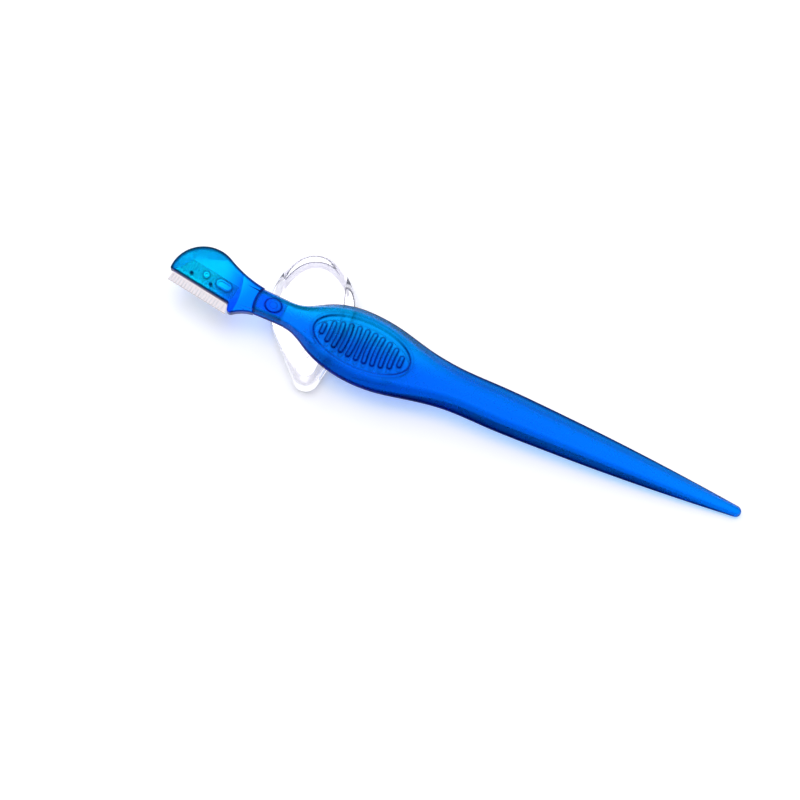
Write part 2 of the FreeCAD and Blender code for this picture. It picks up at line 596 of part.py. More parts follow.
def comb_guard_piece():
    """Thin steel foil folded over the shaving edge, slotted like a comb across the fold."""
    body = new_body("comb_guard")
    fold = new_sketch(body, "foil_fold", "YZ_Plane", "blade_start - fit")
    inner = size("blade_thick") / 2 + size("fit") / 2
    outer = inner + size("foil")
    bend = FreeCAD.Vector(-size("guard_out") + outer, 0, 0)
    root = size("guard_in")
    up = FreeCAD.Vector(0, 1, 0)
    join_ends(fold, [
        arc_between(bend, outer, bend + up * outer, bend - up * outer),
        Part.LineSegment(bend - up * outer, FreeCAD.Vector(root, -outer, 0)),
        Part.LineSegment(FreeCAD.Vector(root, -outer, 0), FreeCAD.Vector(root, -inner, 0)),
        Part.LineSegment(FreeCAD.Vector(root, -inner, 0), bend - up * inner),
        arc_between(bend, inner, bend + up * inner, bend - up * inner),
        Part.LineSegment(bend + up * inner, FreeCAD.Vector(root, inner, 0)),
        Part.LineSegment(FreeCAD.Vector(root, inner, 0), FreeCAD.Vector(root, outer, 0)),
        Part.LineSegment(FreeCAD.Vector(root, outer, 0), bend + up * outer),
    ], smooth=(0, 3, 4, 7))
    for index in (1, 3, 5, 7):
        fold.addConstraint(Sketcher.Constraint("Horizontal", index))
    for index in (2, 6):
        fold.addConstraint(Sketcher.Constraint("Vertical", index))
    dimension(fold, "Radius", (0,), "blade_thick / 2 + fit / 2 + foil")
    dimension(fold, "Radius", (4,), "blade_thick / 2 + fit / 2")
    fold.addConstraint(Sketcher.Constraint("Coincident", 0, 3, 4, 3))
    fold.addConstraint(Sketcher.Constraint("PointOnObject", 0, 3, -1))
    dimension(fold, "DistanceX", (-1, 1, 0, 3), "- guard_out + blade_thick / 2 + fit / 2 + foil")
    dimension(fold, "DistanceX", (-1, 1, 2, 1), "guard_in")
    dimension(fold, "DistanceX", (-1, 1, 6, 1), "guard_in")
    pad(body, fold, "blade_long + heel_slant - blade_start + fit * 2")
    slots = new_sketch(body, "comb_slots", "XY_Plane")
    for index in range(int(size("slot_count"))):
        left = f"slot_start + {index} * slot_pitch"
        polygon(slots, [(left, "- guard_out - fit"), (f"{left} + slot_wide", "- guard_out - fit"),
                        (f"{left} + slot_wide", "- slot_top"), (left, "- slot_top")])
    polygon(slots, [("blade_start - fit * 4", "- fit * 4"), ("tuck_x + fit * 2", "guard_in + fit"),
                    ("blade_start - fit * 4", "guard_in + fit")])
    far = "( blade_long + heel_slant * 2 )"
    polygon(slots, [("blade_long + fit", "guard_in + fit"), ("blade_long + fit", "0"),
                    ("blade_long + heel_slant + fit", "- guard_out - fit"),
                    (far, "- guard_out - fit"), (far, "guard_in + fit")])
    pocket(body, slots, both=True)
    return body


# ---------------------------------------------------------------- cap

def cap_flank(shoulder, nose, nose_from):
    """Centres of the cap's nose arc and upper shoulder arc, and the normal of the flank between."""
    middle = size("cap_long") - size("cap_crown")
    rise = size("cap_wide") / 2 - size("cap_shoulder")
    back = math.sqrt((size("cap_shoulder") - size("cap_crown")) ** 2 - rise ** 2)
    nose_centre = FreeCAD.Vector(nose_from + nose, 0, 0)
    upper = FreeCAD.Vector(middle - back, rise, 0)
    span = upper - nose_centre
    line = math.atan2(span.y, span.x) + math.asin((shoulder - nose) / span.Length)
    return nose_centre, upper, FreeCAD.Vector(-math.sin(line), math.cos(line), 0)


def cap_half_width(along):
    """Half width of the cap's plan at a distance from the tip of its nose."""
    nose, shoulder = size("cap_nose"), size("cap_shoulder")
    nose_centre, upper, out = cap_flank(shoulder, nose, 0)
    if along > (upper + out * shoulder).x:
        return upper.y + math.sqrt(shoulder ** 2 - (along - upper.x) ** 2)
    start = nose_centre + out * nose
    return start.y - (along - start.x) * out.x / out.y


def cap_curve(crown, shoulder, nose, nose_from, open_run=None):
    """Egg-shaped plan: a small nose arc, straight flanks, shoulder arcs, and a crown or a mouth."""
    nose_centre, upper, out = cap_flank(shoulder, nose, nose_from)

    def flip(point):
        return FreeCAD.Vector(point.x, -point.y, 0)

    nose_end = nose_centre + out * nose
    flank_end = upper + out * shoulder
    flank = Part.LineSegment(nose_end, flank_end)
    low_flank = Part.LineSegment(flip(flank_end), flip(nose_end))
    nose_arc = arc_between(nose_centre, nose, nose_end, flip(nose_end))
    if open_run is None:
        crown_centre = FreeCAD.Vector(size("cap_long") - size("cap_crown"), 0, 0)
        turn = (crown_centre - upper).normalize()
        meet = crown_centre + turn * crown
        return [nose_arc, flank, arc_between(upper, shoulder, meet, flank_end),
                arc_between(crown_centre, crown, flip(meet), meet),
                arc_between(flip(upper), shoulder, flip(flank_end), flip(meet)), low_flank]
    top = upper + FreeCAD.Vector(0, shoulder, 0)
    out_top = FreeCAD.Vector(size("cap_long") + open_run, top.y, 0)
    return [nose_arc, flank, arc_between(upper, shoulder, top, flank_end),
            Part.LineSegment(top, out_top), Part.LineSegment(out_top, flip(out_top)),
            Part.LineSegment(flip(out_top), flip(top)),
            arc_between(flip(upper), shoulder, flip(flank_end), flip(top)), low_flank]


def cap_piece():
    """Clear cap: a flat egg-shaped sleeve, closed at the nose and open at the wide end."""
    body = new_body("cap")
    plan = new_sketch(body, "cap_plan", "XY_Plane")
    curves = cap_curve(size("cap_crown"), size("cap_shoulder"), size("cap_nose"), 0)
    join_ends(plan, curves, smooth=(0, 1, 2, 3, 4, 5))
    dimension(plan, "Radius", (0,), "cap_nose")
    dimension(plan, "Radius", (3,), "cap_crown")
    dimension(plan, "Radius", (2,), "cap_shoulder")
    dimension(plan, "Radius", (4,), "cap_shoulder")
    plan.addConstraint(Sketcher.Constraint("PointOnObject", 0, 3, -1))
    plan.addConstraint(Sketcher.Constraint("PointOnObject", 3, 3, -1))
    dimension(plan, "DistanceX", (-1, 1, 0, 3), "cap_nose")
    dimension(plan, "DistanceX", (-1, 1, 3, 3), "cap_long - cap_crown")
    dimension(plan, "DistanceY", (-1, 1, 2, 3), "cap_wide / 2 - cap_shoulder")
    dimension(plan, "DistanceY", (-1, 1, 4, 3), "cap_shoulder - cap_wide / 2")
    shell = pad(body, plan, "cap_tall")
    tall = size("cap_tall")
    round_edges(body, shell, lambda edge: lies_at(edge, 0) or lies_at(edge, tall), "cap_round", "cap_rim")
    well = new_sketch(body, "cap_well", "XY_Plane", "cap_lip")
    inner = size("cap_shoulder") - size("cap_wall")
    curves = cap_curve(None, inner, size("cap_well_nose"), size("cap_end"), size("cap_mouth_run"))
    shoulder = ("cap_long - cap_crown - sqrt(( cap_shoulder - cap_crown ) ^ 2"
                " - ( cap_wide / 2 - cap_shoulder ) ^ 2)")
    join_ends(well, curves, smooth=(0, 1, 2, 5, 6, 7))
    dimension(well, "Radius", (0,), "cap_well_nose")
    dimension(well, "Radius", (2,), "cap_shoulder - cap_wall")
    dimension(well, "Radius", (6,), "cap_shoulder - cap_wall")
    well.addConstraint(Sketcher.Constraint("PointOnObject", 0, 3, -1))
    dimension(well, "DistanceX", (-1, 1, 0, 3), "cap_end + cap_well_nose")
    dimension(well, "DistanceY", (-1, 1, 2, 3), "cap_wide / 2 - cap_shoulder")
    dimension(well, "DistanceY", (-1, 1, 6, 3), "cap_shoulder - cap_wide / 2")
    dimension(well, "DistanceX", (-1, 1, 2, 3), shoulder)
    dimension(well, "DistanceX", (-1, 1, 6, 3), shoulder)
    well.addConstraint(Sketcher.Constraint("Horizontal", 3))
    well.addConstraint(Sketcher.Constraint("Horizontal", 5))
    well.addConstraint(Sketcher.Constraint("Vertical", 4))
    dimension(well, "DistanceX", (-1, 1, 4, 1), "cap_long + cap_mouth_run")
    pocket(body, well, "cap_tall - cap_lip * 2", reverse=True)
    gate = new_sketch(body, "gate_mark", "XY_Plane", "cap_tall")
    circle(gate, "gate_at", "0", "gate_radius")
    circle(gate, "gate_at", "0", "gate_pip")
    pocket(body, gate, "gate_deep")
    return body


# ---------------------------------------------------------------- placing

def lay_down(handle, head, edge_pieces, cap):
    """Lay the razor on the cap, its tail on the table, and centre the whole over the origin."""
    turn = math.radians(size("cap_turn"))
    cap_way = FreeCAD.Vector(-math.sin(turn), math.cos(turn), 0)
    nose = FreeCAD.Vector(size("cap_cross_at"), 0, 0) - cap_way * size("cap_cross_from_nose")
    cap_spin = FreeCAD.Rotation(FreeCAD.Vector(0, 0, 1), 90 + size("cap_turn"))
    # the razor lies on the cap at the tail side of its flat top, at the last point under the grip
    touch_at = size("cap_cross_at")
    for step in range(-TRIALS, TRIALS + 1):
        away = step / TRIALS * size("belly_facet")
        flat = cap_half_width(size("cap_cross_from_nose") + away) - size("cap_round")
        if abs(away * math.cos(turn) + flat * math.sin(turn)) < size("belly_facet"):
            reach = flat * math.cos(turn) - away * math.sin(turn)
            touch_at = max(touch_at, size("cap_cross_at") + reach)
    tail_at = size("overall_length") - size("tip_round")
    lift = size("cap_tall") + size("rest_gap") + size("shoulder_thick") - size("tip_thick")
    tilt = math.degrees(math.asin(lift / (tail_at - touch_at)))
    lean = FreeCAD.Rotation(FreeCAD.Vector(0, 1, 0), tilt)
    height = tail_at * math.sin(math.radians(tilt)) + size("tip_thick") * math.cos(math.radians(tilt))
    razor = FreeCAD.Placement(FreeCAD.Vector(0, 0, height), lean)
    start, slope = edge_frame()
    edge = FreeCAD.Placement(start, FreeCAD.Rotation(FreeCAD.Vector(0, 0, 1), slope))
    cap_place = FreeCAD.Placement(nose, cap_spin)
    places = [(handle, razor), (cap, cap_place)]
    places += [(body, razor) for body in head]
    places += [(body, razor.multiply(edge)) for body in edge_pieces]
    for body, place in places:
        body.Placement = place
    doc.recompute()
    # the tail all but touches the table
    low = handle.Shape.optimalBoundingBox().ZMin
    drop = FreeCAD.Placement(FreeCAD.Vector(0, 0, size("tail_gap") - low), FreeCAD.Rotation())
    places = [(body, place if body is cap else drop.multiply(place)) for body, place in places]
    for body, place in places:
        body.Placement = place
    doc.recompute()
    box = FreeCAD.BoundBox()
    for body, place in places:
        box.add(body.Shape.optimalBoundingBox())
    shift = FreeCAD.Placement(FreeCAD.Vector(-box.Center.x, -box.Center.y, -box.ZMin),
                              FreeCAD.Rotation())
    for body, place in places:
        body.Placement = shift.multiply(place)
    doc.recompute()
    print("tilt", tilt, "degrees, axis starts at", shift.multiply(drop.multiply(razor)).Base)


handle = handle_piece()
holder = blade_holder_piece()
cover = holder_cover_piece()
blade = blade_piece()
guard = comb_guard_piece()
cap = cap_piece()
lay_down(handle, [holder, cover], [blade, guard], cap)

bodies = [handle, holder, cover, blade, guard, cap]
for item in doc.Objects:
    if "Invalid" in item.State or "Error" in item.State:
        raise RuntimeError(f"{item.Name} failed: {item.State}")
for body in bodies:
    shape = body.Shape
    if shape.isNull() or not shape.isValid() or len(shape.Solids) != 1:
        raise RuntimeError(f"{body.Label} is not one valid solid: {len(shape.Solids)} solids")
for body in bodies:
    body.Shape.exportStep(f"parts/{body.Label}.step")
    print(body.Label, round(body.Shape.Volume, 2), "mm3", body.Shape.BoundBox)
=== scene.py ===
import json
import math

import bpy
import numpy as np
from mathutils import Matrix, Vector


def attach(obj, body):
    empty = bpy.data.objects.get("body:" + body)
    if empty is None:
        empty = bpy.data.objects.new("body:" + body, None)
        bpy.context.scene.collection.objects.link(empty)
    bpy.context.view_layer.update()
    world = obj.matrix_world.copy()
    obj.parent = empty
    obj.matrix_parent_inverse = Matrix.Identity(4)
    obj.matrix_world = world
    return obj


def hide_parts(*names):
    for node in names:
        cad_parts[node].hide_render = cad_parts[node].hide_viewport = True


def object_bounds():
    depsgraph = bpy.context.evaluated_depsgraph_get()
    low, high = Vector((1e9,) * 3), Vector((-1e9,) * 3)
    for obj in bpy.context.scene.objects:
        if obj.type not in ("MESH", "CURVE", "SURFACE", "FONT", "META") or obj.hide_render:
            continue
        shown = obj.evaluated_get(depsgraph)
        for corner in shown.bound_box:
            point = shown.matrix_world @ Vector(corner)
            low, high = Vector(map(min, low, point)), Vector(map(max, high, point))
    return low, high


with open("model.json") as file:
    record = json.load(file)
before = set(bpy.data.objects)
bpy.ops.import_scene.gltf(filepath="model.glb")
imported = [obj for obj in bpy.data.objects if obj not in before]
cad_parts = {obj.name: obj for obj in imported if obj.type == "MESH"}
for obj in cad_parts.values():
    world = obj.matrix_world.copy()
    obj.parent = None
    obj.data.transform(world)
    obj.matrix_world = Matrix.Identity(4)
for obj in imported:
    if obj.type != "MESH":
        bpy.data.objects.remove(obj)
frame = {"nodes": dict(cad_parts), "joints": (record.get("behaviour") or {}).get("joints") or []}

bl_info = {
    "name": "Eyebrow razor",
    "version": (1, 0, 0),
    "blender": (4, 5, 0),
    "location": "3D View > Sidebar > Razor",
    "description": "Builds a translucent eyebrow razor that rests across its clear cap",
    "category": "Add Mesh",
}

CAD_BOX = [list(corner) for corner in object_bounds()]
MM = 0.001


def linear(text):
    """An sRGB hex colour as a linear RGB triple."""
    shares = [int(text[i:i + 2], 16) / 255 for i in (1, 3, 5)]
    return tuple(c / 12.92 if c <= 0.04045 else ((c + 0.055) / 1.055) ** 2.4 for c in shares)


def length(name, description, millimetres):
    """A size property, in metres."""
    return bpy.props.FloatProperty(name=name, description=description, default=millimetres * MM, min=0,
                                   precision=5, subtype="DISTANCE", unit="LENGTH")


def fraction(name, description, value):
    """A property between 0 and 1."""
    return bpy.props.FloatProperty(name=name, description=description, default=value, min=0, max=1,
                                   subtype="FACTOR")


def shade(name, description, text):
    """A colour property, given as sRGB hex."""
    return bpy.props.FloatVectorProperty(name=name, description=description, default=linear(text), size=3,
                                         min=0, max=1, subtype="COLOR")


class RazorSizes(bpy.types.PropertyGroup):
    """Sizes of the details that are finer than the construction."""
    oval_long: length("Oval, half length", "Grip's sunk oval, along the razor", 12.7)
    oval_wide: length("Oval, half width", "Grip's sunk oval, across the razor", 6.1)
    oval_deep: length("Oval depth", "How far the oval is sunk", 0.55)
    bar_pitch: length("Bar pitch", "From one bar of the grip to the next", 2.04)
    bar_long: length("Bar length", "The middle bar, end to end", 8.45)
    bar_wide: length("Bar half width", "Half the width of a bar", 0.55)
    boss_high: length("Boss height", "Top of the neck's raised oval over the middle plane", 2.37)
    slot_start: length("First slot", "Where the comb's first slot begins along the edge", 1.35)
    slot_pitch: length("Slot pitch", "From one slot of the comb to the next", 0.8)
    slot_wide: length("Slot half width", "Half the width of a slot", 0.18)
    foil_thick: length("Foil thickness", "Thickness of the comb guard's foil", 0.08)


class RazorColours(bpy.types.PropertyGroup):
    """Colours and roughness of the finishes."""
    handle_blue: shade("Handle blue", "Dye of the handle", "#00ACF6")
    handle_cloud: shade("Handle clouds", "Where the handle's dye runs denser", "#00A0F8")
    # painted light: the lighter colour that the handle's far side takes
    handle_pale: shade("Handle pale", "Where the handle's dye runs thinner", "#00F4FF")
    handle_glow: shade("Handle glow", "What lamp light keeps when it crosses the handle", "#C0F6FF")
    handle_rough: fraction("Handle roughness", "Fine spark-eroded finish of the handle's mould", 0.28)
    handle_clear: fraction("Handle clearness", "How much light the handle lets through", 0.85)
    head_blue: shade("Head blue", "Dye of the head's neck", "#0094FF")
    head_cloud: shade("Head clouds", "Where the head's dye runs denser", "#0088F8")
    # painted light: the lighter colour of the dome
    head_pale: shade("Head pale", "Dye of the dome, where it runs thinner", "#00FFFF")
    head_glow: shade("Head glow", "What lamp light keeps when it crosses the head", "#D4D6FF")
    head_rough: fraction("Head roughness", "Polished finish of the head's mould", 0.12)
    head_clear: fraction("Head clearness", "How much light the head lets through", 0.93)
    dye_depth: shade("Dye depth", "Light that a depth of the dye lets through", "#00ECFB")
    gloss_tint: shade("Gloss tint", "Tint of the blue plastic's reflections", "#2A7CFF")
    # painted shade: the navy that outlines, walls and edges are darkened towards, partly for the dye behind
    # them
    painted_shade_navy: shade("Outlines", "Dye seen through its depth at edges and walls", "#000C50")
    # partly the blade's rolled surface, partly painted shade where the head covers it
    blade_skin_and_shade: shade("Blade skin", "Rolled surface of the blade", "#6E6E78")
    blade_ground: shade("Blade bevel", "Ground surface of the blade", "#FFFAF2")
    blade_worn: shade("Blade scratches", "Grinding marks on the blade", "#84848E")
    blade_rough: fraction("Blade roughness", "Finish of the blade's ground surface", 0.26)
    # painted shade: the foil darker where the head covers it
    foil_painted_shade: shade("Foil root", "Foil inside the head", "#60646C")
    foil_bright: shade("Foil", "Foil outside the head", "#FFF6EC")
    foil_worn: shade("Foil scratches", "Rolling marks on the foil", "#F4ECE4")
    foil_rough: fraction("Foil roughness", "Finish of the rolled foil", 0.2)
    cap_clear: shade("Cap", "The clear cap's surface", "#FAF9FD")
    cap_depth: shade("Cap depth", "The clear cap's tint in its depth", "#A0A0C8")
    cap_rough: fraction("Cap roughness", "Gloss finish of the cap's mould", 0.03)
    table_white: shade("Table", "Paint of the table", "#F4F4F4")
    table_grain: shade("Table grain", "Where the table's paint is a little darker", "#F2F2F2")
    card_grey: shade("Card", "The card that the gloss sees beyond the razor", "#DADADD")
    sky_white: shade("Sky", "Light of the room", "#ECEEFF")


# ---------------------------------------------------------------- places, in millimetres

# the razor's axis: how far it leans down towards the tail, and where it starts at the head
LEAN = math.atan2(frame["joints"][0]["axis"][2], -frame["joints"][0]["axis"][0])
AXIS_START = np.array([-74.8951, -2.9007, 13.7768])

# the dome's circle, the neck's end and half width, the hook's tip, and the radii of the hollow back
# and of the hook's back
DOME, DOME_RADIUS = (8.95, -0.74), 8.6
NECK_END, NECK_HALF, HOOK = 24.0, 3.42, (17.55, -6.65)
BACK_RADIUS, HOOK_RADIUS = 30.0, 9.0
# the hook's wall follows a circle too, below the heel of the shaving edge
WALL, WALL_RADIUS, HEEL = (25.0, -2.8), 8.3, (17.0, -3.5)
# the seam of head and handle bulges to here, on this radius
SEAM_AT, SEAM_RADIUS = 22.7, 9.0
# the shaving edge: where it leaves the head's tip corner, and which way it runs
EDGE_START_Y, EDGE_END = -1.3, (16.75, -3.68)
EDGE_START = np.array([DOME[0] - math.sqrt(DOME_RADIUS ** 2 - (EDGE_START_Y - DOME[1]) ** 2), EDGE_START_Y])
EDGE_TURN = math.atan2(EDGE_END[1] - EDGE_START[1], EDGE_END[0] - EDGE_START[0])


def left_meeting(start, start_radius, end, end_radius):
    """Where two circles meet, on the left of the way from one middle to the other."""
    way = np.subtract(end, start)
    apart = np.linalg.norm(way)
    ahead = (start_radius ** 2 - end_radius ** 2 + apart ** 2) / (2 * apart)
    aside = math.sqrt(start_radius ** 2 - ahead ** 2)
    return start + (way * ahead + np.array([-way[1], way[0]]) * aside) / apart


# the hollow back touches the dome and ends at the neck, and the hook's back runs from neck to hook
HOLLOW_BACK = left_meeting(DOME, DOME_RADIUS + BACK_RADIUS, (NECK_END, NECK_HALF), BACK_RADIUS)
HOOK_BACK = left_meeting((NECK_END, -NECK_HALF), HOOK_RADIUS, HOOK, HOOK_RADIUS)
DOME_END = DOME[0] + (HOLLOW_BACK[0] - DOME[0]) * DOME_RADIUS / (DOME_RADIUS + BACK_RADIUS)


def on_razor(along, across, up):
    """Points given along the razor's axis, across it and through its thickness, in the row frame."""
    return np.stack([AXIS_START[0] + along * math.cos(LEAN) + up * math.sin(LEAN),
                     AXIS_START[1] + across,
                     AXIS_START[2] - along * math.sin(LEAN) + up * math.cos(LEAN)], -1) * MM


def on_edge(along, across, up):
    """Points given along the shaving edge, inward from it and through the head, in the row frame:
    the first two are turned by the edge's angle."""
    cosine, sine = math.cos(EDGE_TURN), math.sin(EDGE_TURN)
    return on_razor(EDGE_START[0] + along * cosine - across * sine,
                    EDGE_START[1] + along * sine + across * cosine, up)


# ---------------------------------------------------------------- materials

# each painted shade line of the head's outline fades in from this far off its circle to LINE_CORE off it
LINE_CORE = 0.1
DOME_LINE, BACK_LINE, HOOK_LINE, WALL_LINE, EDGE_LINE, SEAM_LINE = 0.8, 0.6, 0.5, 0.6, 0.7, 0.45
# rings of painted shade on the head, dark spots in the core holes and dark rings round the posts: place
# along the edge and inward from it, half length of the straight part, radius, width of the line, strength
CORE_HOLES = ((5.15, 1.7, 0, 0, 0.6, 1), (10.55, 1.7, 0, 0, 0.6, 1))
POSTS = ((8.4, 3.3, 0, 0.85, 0.3, 0.4), (13.4, 3.3, 0.95, 1.15, 0.3, 0.45))
# painted light on the dome, against the shade seen through it: its middle, and how far from it the lighter
# colour begins to fade and ends
PAINTED_LIGHT_MIDDLE, PAINTED_LIGHT_NEAR, PAINTED_LIGHT_FAR = (6.5, 4.0), 4.0, 15.0
# painted shade on walls: none up to 18 degrees from the flat faces, then more as they turn away
WALL_SHADE, WALL_FALL = 1.12, -1.18
# clouds of the dye in a metre, one every 14 mm, and the mould's waves, one every 2 mm
DYE_CLOUDS = 70.0
MOULD_WAVE = 2.0
# how fast the plastics drink light, per metre of depth
HANDLE_DENSITY, HEAD_DENSITY, CAP_DENSITY = 1400.0, 560.0, 12.0
# spacing of the marks: the grinding of the blade, and the rolling of the foil, which is drawn
# coarser than real so that it shows; both are long across the razor
BLADE_MARKS, FOIL_MARKS, MARK_STRETCH = 1 / 9, 0.4, 0.06
NOTHING = (0, 0, 0)
# the colour sockets of a Mix node
MIX_A, MIX_B, MIX_RESULT = 6, 7, 2


def add_node(tree, kind, sockets=None, **settings):
    """Add a node with its settings. Each named socket gets a value, or a link from an output."""
    node = tree.nodes.new(kind)
    for name, value in settings.items():
        setattr(node, name, value)
    for name, value in (sockets or {}).items():
        if isinstance(value, bpy.types.NodeSocket):
            tree.links.new(value, node.inputs[name])
        else:
            node.inputs[name].default_value = value
    return node


def new_material(name):
    """An empty material and its node tree."""
    material = bpy.data.materials.new(name)
    material.use_nodes = True
    material.node_tree.nodes.clear()
    return material, material.node_tree


def distance_from(tree, place, middle):
    """Distance in the row's ground plane from a point given along and across the razor."""
    level = add_node(tree, "ShaderNodeVectorMath", {0: place, 1: (1, 1, 0)}, operation="MULTIPLY")
    x, y, _ = on_razor(*middle, 0)
    away = add_node(tree, "ShaderNodeVectorMath", {0: level.outputs[0], 1: (x, y, 0)}, operation="DISTANCE")
    return away.outputs["Value"]


def from_edge(tree, place, direction):
    """How far a point lies from the start of the shaving edge, along it (1, 0) or inward (0, 1)."""
    start = on_edge(0, 0, 0)
    way = on_edge(*direction, 0) - start
    way[2] = 0
    way /= np.linalg.norm(way)
    reach = add_node(tree, "ShaderNodeVectorMath", {0: place, 1: way}, operation="DOT_PRODUCT")
    return add_node(tree, "ShaderNodeMath", {0: reach.outputs["Value"], 1: float(start @ way)},
                    operation="SUBTRACT").outputs[0]


def head_shade_lines(tree, place):
    """How dark the head's painted shade is, from 0 to 1: along the circles and the shaving edge of
    its outline, at the seam, in the core holes and round the posts. Each line is a smooth step of a
    distance, and the darkest line counts."""
    apart = add_node(tree, "ShaderNodeSeparateXYZ", {0: place})
    heel_x, heel_y, _ = on_razor(*HEEL, 0)
    limits = (("X", on_razor(DOME_END, 0, 0)[0]), ("X", heel_x), ("Y", heel_y))
    on_dome, before_heel, below_heel = (
        add_node(tree, "ShaderNodeMath", {0: apart.outputs[axis], 1: limit}, operation="LESS_THAN").outputs[0]
        for axis, limit in limits)
    along, inward = from_edge(tree, place, (1, 0)), from_edge(tree, place, (0, 1))
    # each line: a distance, where the line has faded, where it is full, and where or how much it shows
    lines = [(inward, EDGE_LINE, LINE_CORE, before_heel)]
    # past DOME_END the dome's circle runs on inside the head
    for middle, radius, side, wide, where in (
            (DOME, DOME_RADIUS, 1, DOME_LINE, on_dome), (HOLLOW_BACK, BACK_RADIUS, -1, BACK_LINE, 1),
            (HOOK_BACK, HOOK_RADIUS, -1, HOOK_LINE, 1), (WALL, WALL_RADIUS, 1, WALL_LINE, below_heel)):
        away = distance_from(tree, place, middle)
        lines.append((away, radius - side * wide, radius - side * LINE_CORE, where))
    # each ring: the distance from its middle, or from the line between its two middles, and its radius
    seam = distance_from(tree, place, (SEAM_AT + SEAM_RADIUS, 0))
    rings = [(seam, SEAM_RADIUS, SEAM_LINE, LINE_CORE, 1)]
    for middle, across, reach, radius, wide, strength in CORE_HOLES + POSTS:
        off = add_node(tree, "ShaderNodeCombineXYZ", {"X": along, "Y": inward})
        for operation, by in (("SUBTRACT", (middle * MM, across * MM, 0)), ("ABSOLUTE", NOTHING),
                              ("SUBTRACT", (reach * MM, 0, 0)), ("MAXIMUM", NOTHING), ("LENGTH", NOTHING)):
            off = add_node(tree, "ShaderNodeVectorMath", {0: off.outputs[0], 1: by}, operation=operation)
        rings.append((off.outputs["Value"], radius, wide, wide / 2, strength))
    for away, radius, faded, full, strength in rings:
        off = add_node(tree, "ShaderNodeMath", {0: away, 1: radius * MM}, operation="SUBTRACT")
        off = add_node(tree, "ShaderNodeMath", {0: off.outputs[0]}, operation="ABSOLUTE")
        lines.append((off.outputs[0], faded, full, strength))
    darkest_shade = 0.0
    for distance, faded, full, shown in lines:
        line = add_node(tree, "ShaderNodeMapRange",
                        {"Value": distance, "From Min": faded * MM, "From Max": full * MM},
                        interpolation_type="SMOOTHSTEP")
        line = add_node(tree, "ShaderNodeMath", {0: line.outputs["Result"], 1: shown}, operation="MULTIPLY")
        line = add_node(tree, "ShaderNodeMath", {0: line.outputs[0], 1: darkest_shade}, operation="MAXIMUM")
        darkest_shade = line.outputs[0]
    return darkest_shade


def mould_finish(tree, shader, place, rough):
    """A mould's waviness, 2 mm across and a few microns high, and the unevenness of its polish."""
    wave = add_node(tree, "ShaderNodeTexNoise",
                    {"Vector": place, "Scale": 1 / (MOULD_WAVE * MM), "Detail": 1.0})
    height = wave.outputs["Fac"]
    bump = add_node(tree, "ShaderNodeBump", {"Height": height, "Strength": 0.15, "Distance": 0.05 * MM})
    uneven = min(0.04, rough * 0.7)
    polish = add_node(tree, "ShaderNodeMapRange",
                      {"Value": height, "From Min": 0.25, "From Max": 0.75,
                       "To Min": rough - uneven, "To Max": rough + uneven}, interpolation_type="SMOOTHSTEP")
    tree.links.new(bump.outputs[0], shader.inputs["Normal"])
    tree.links.new(polish.outputs["Result"], shader.inputs["Roughness"])


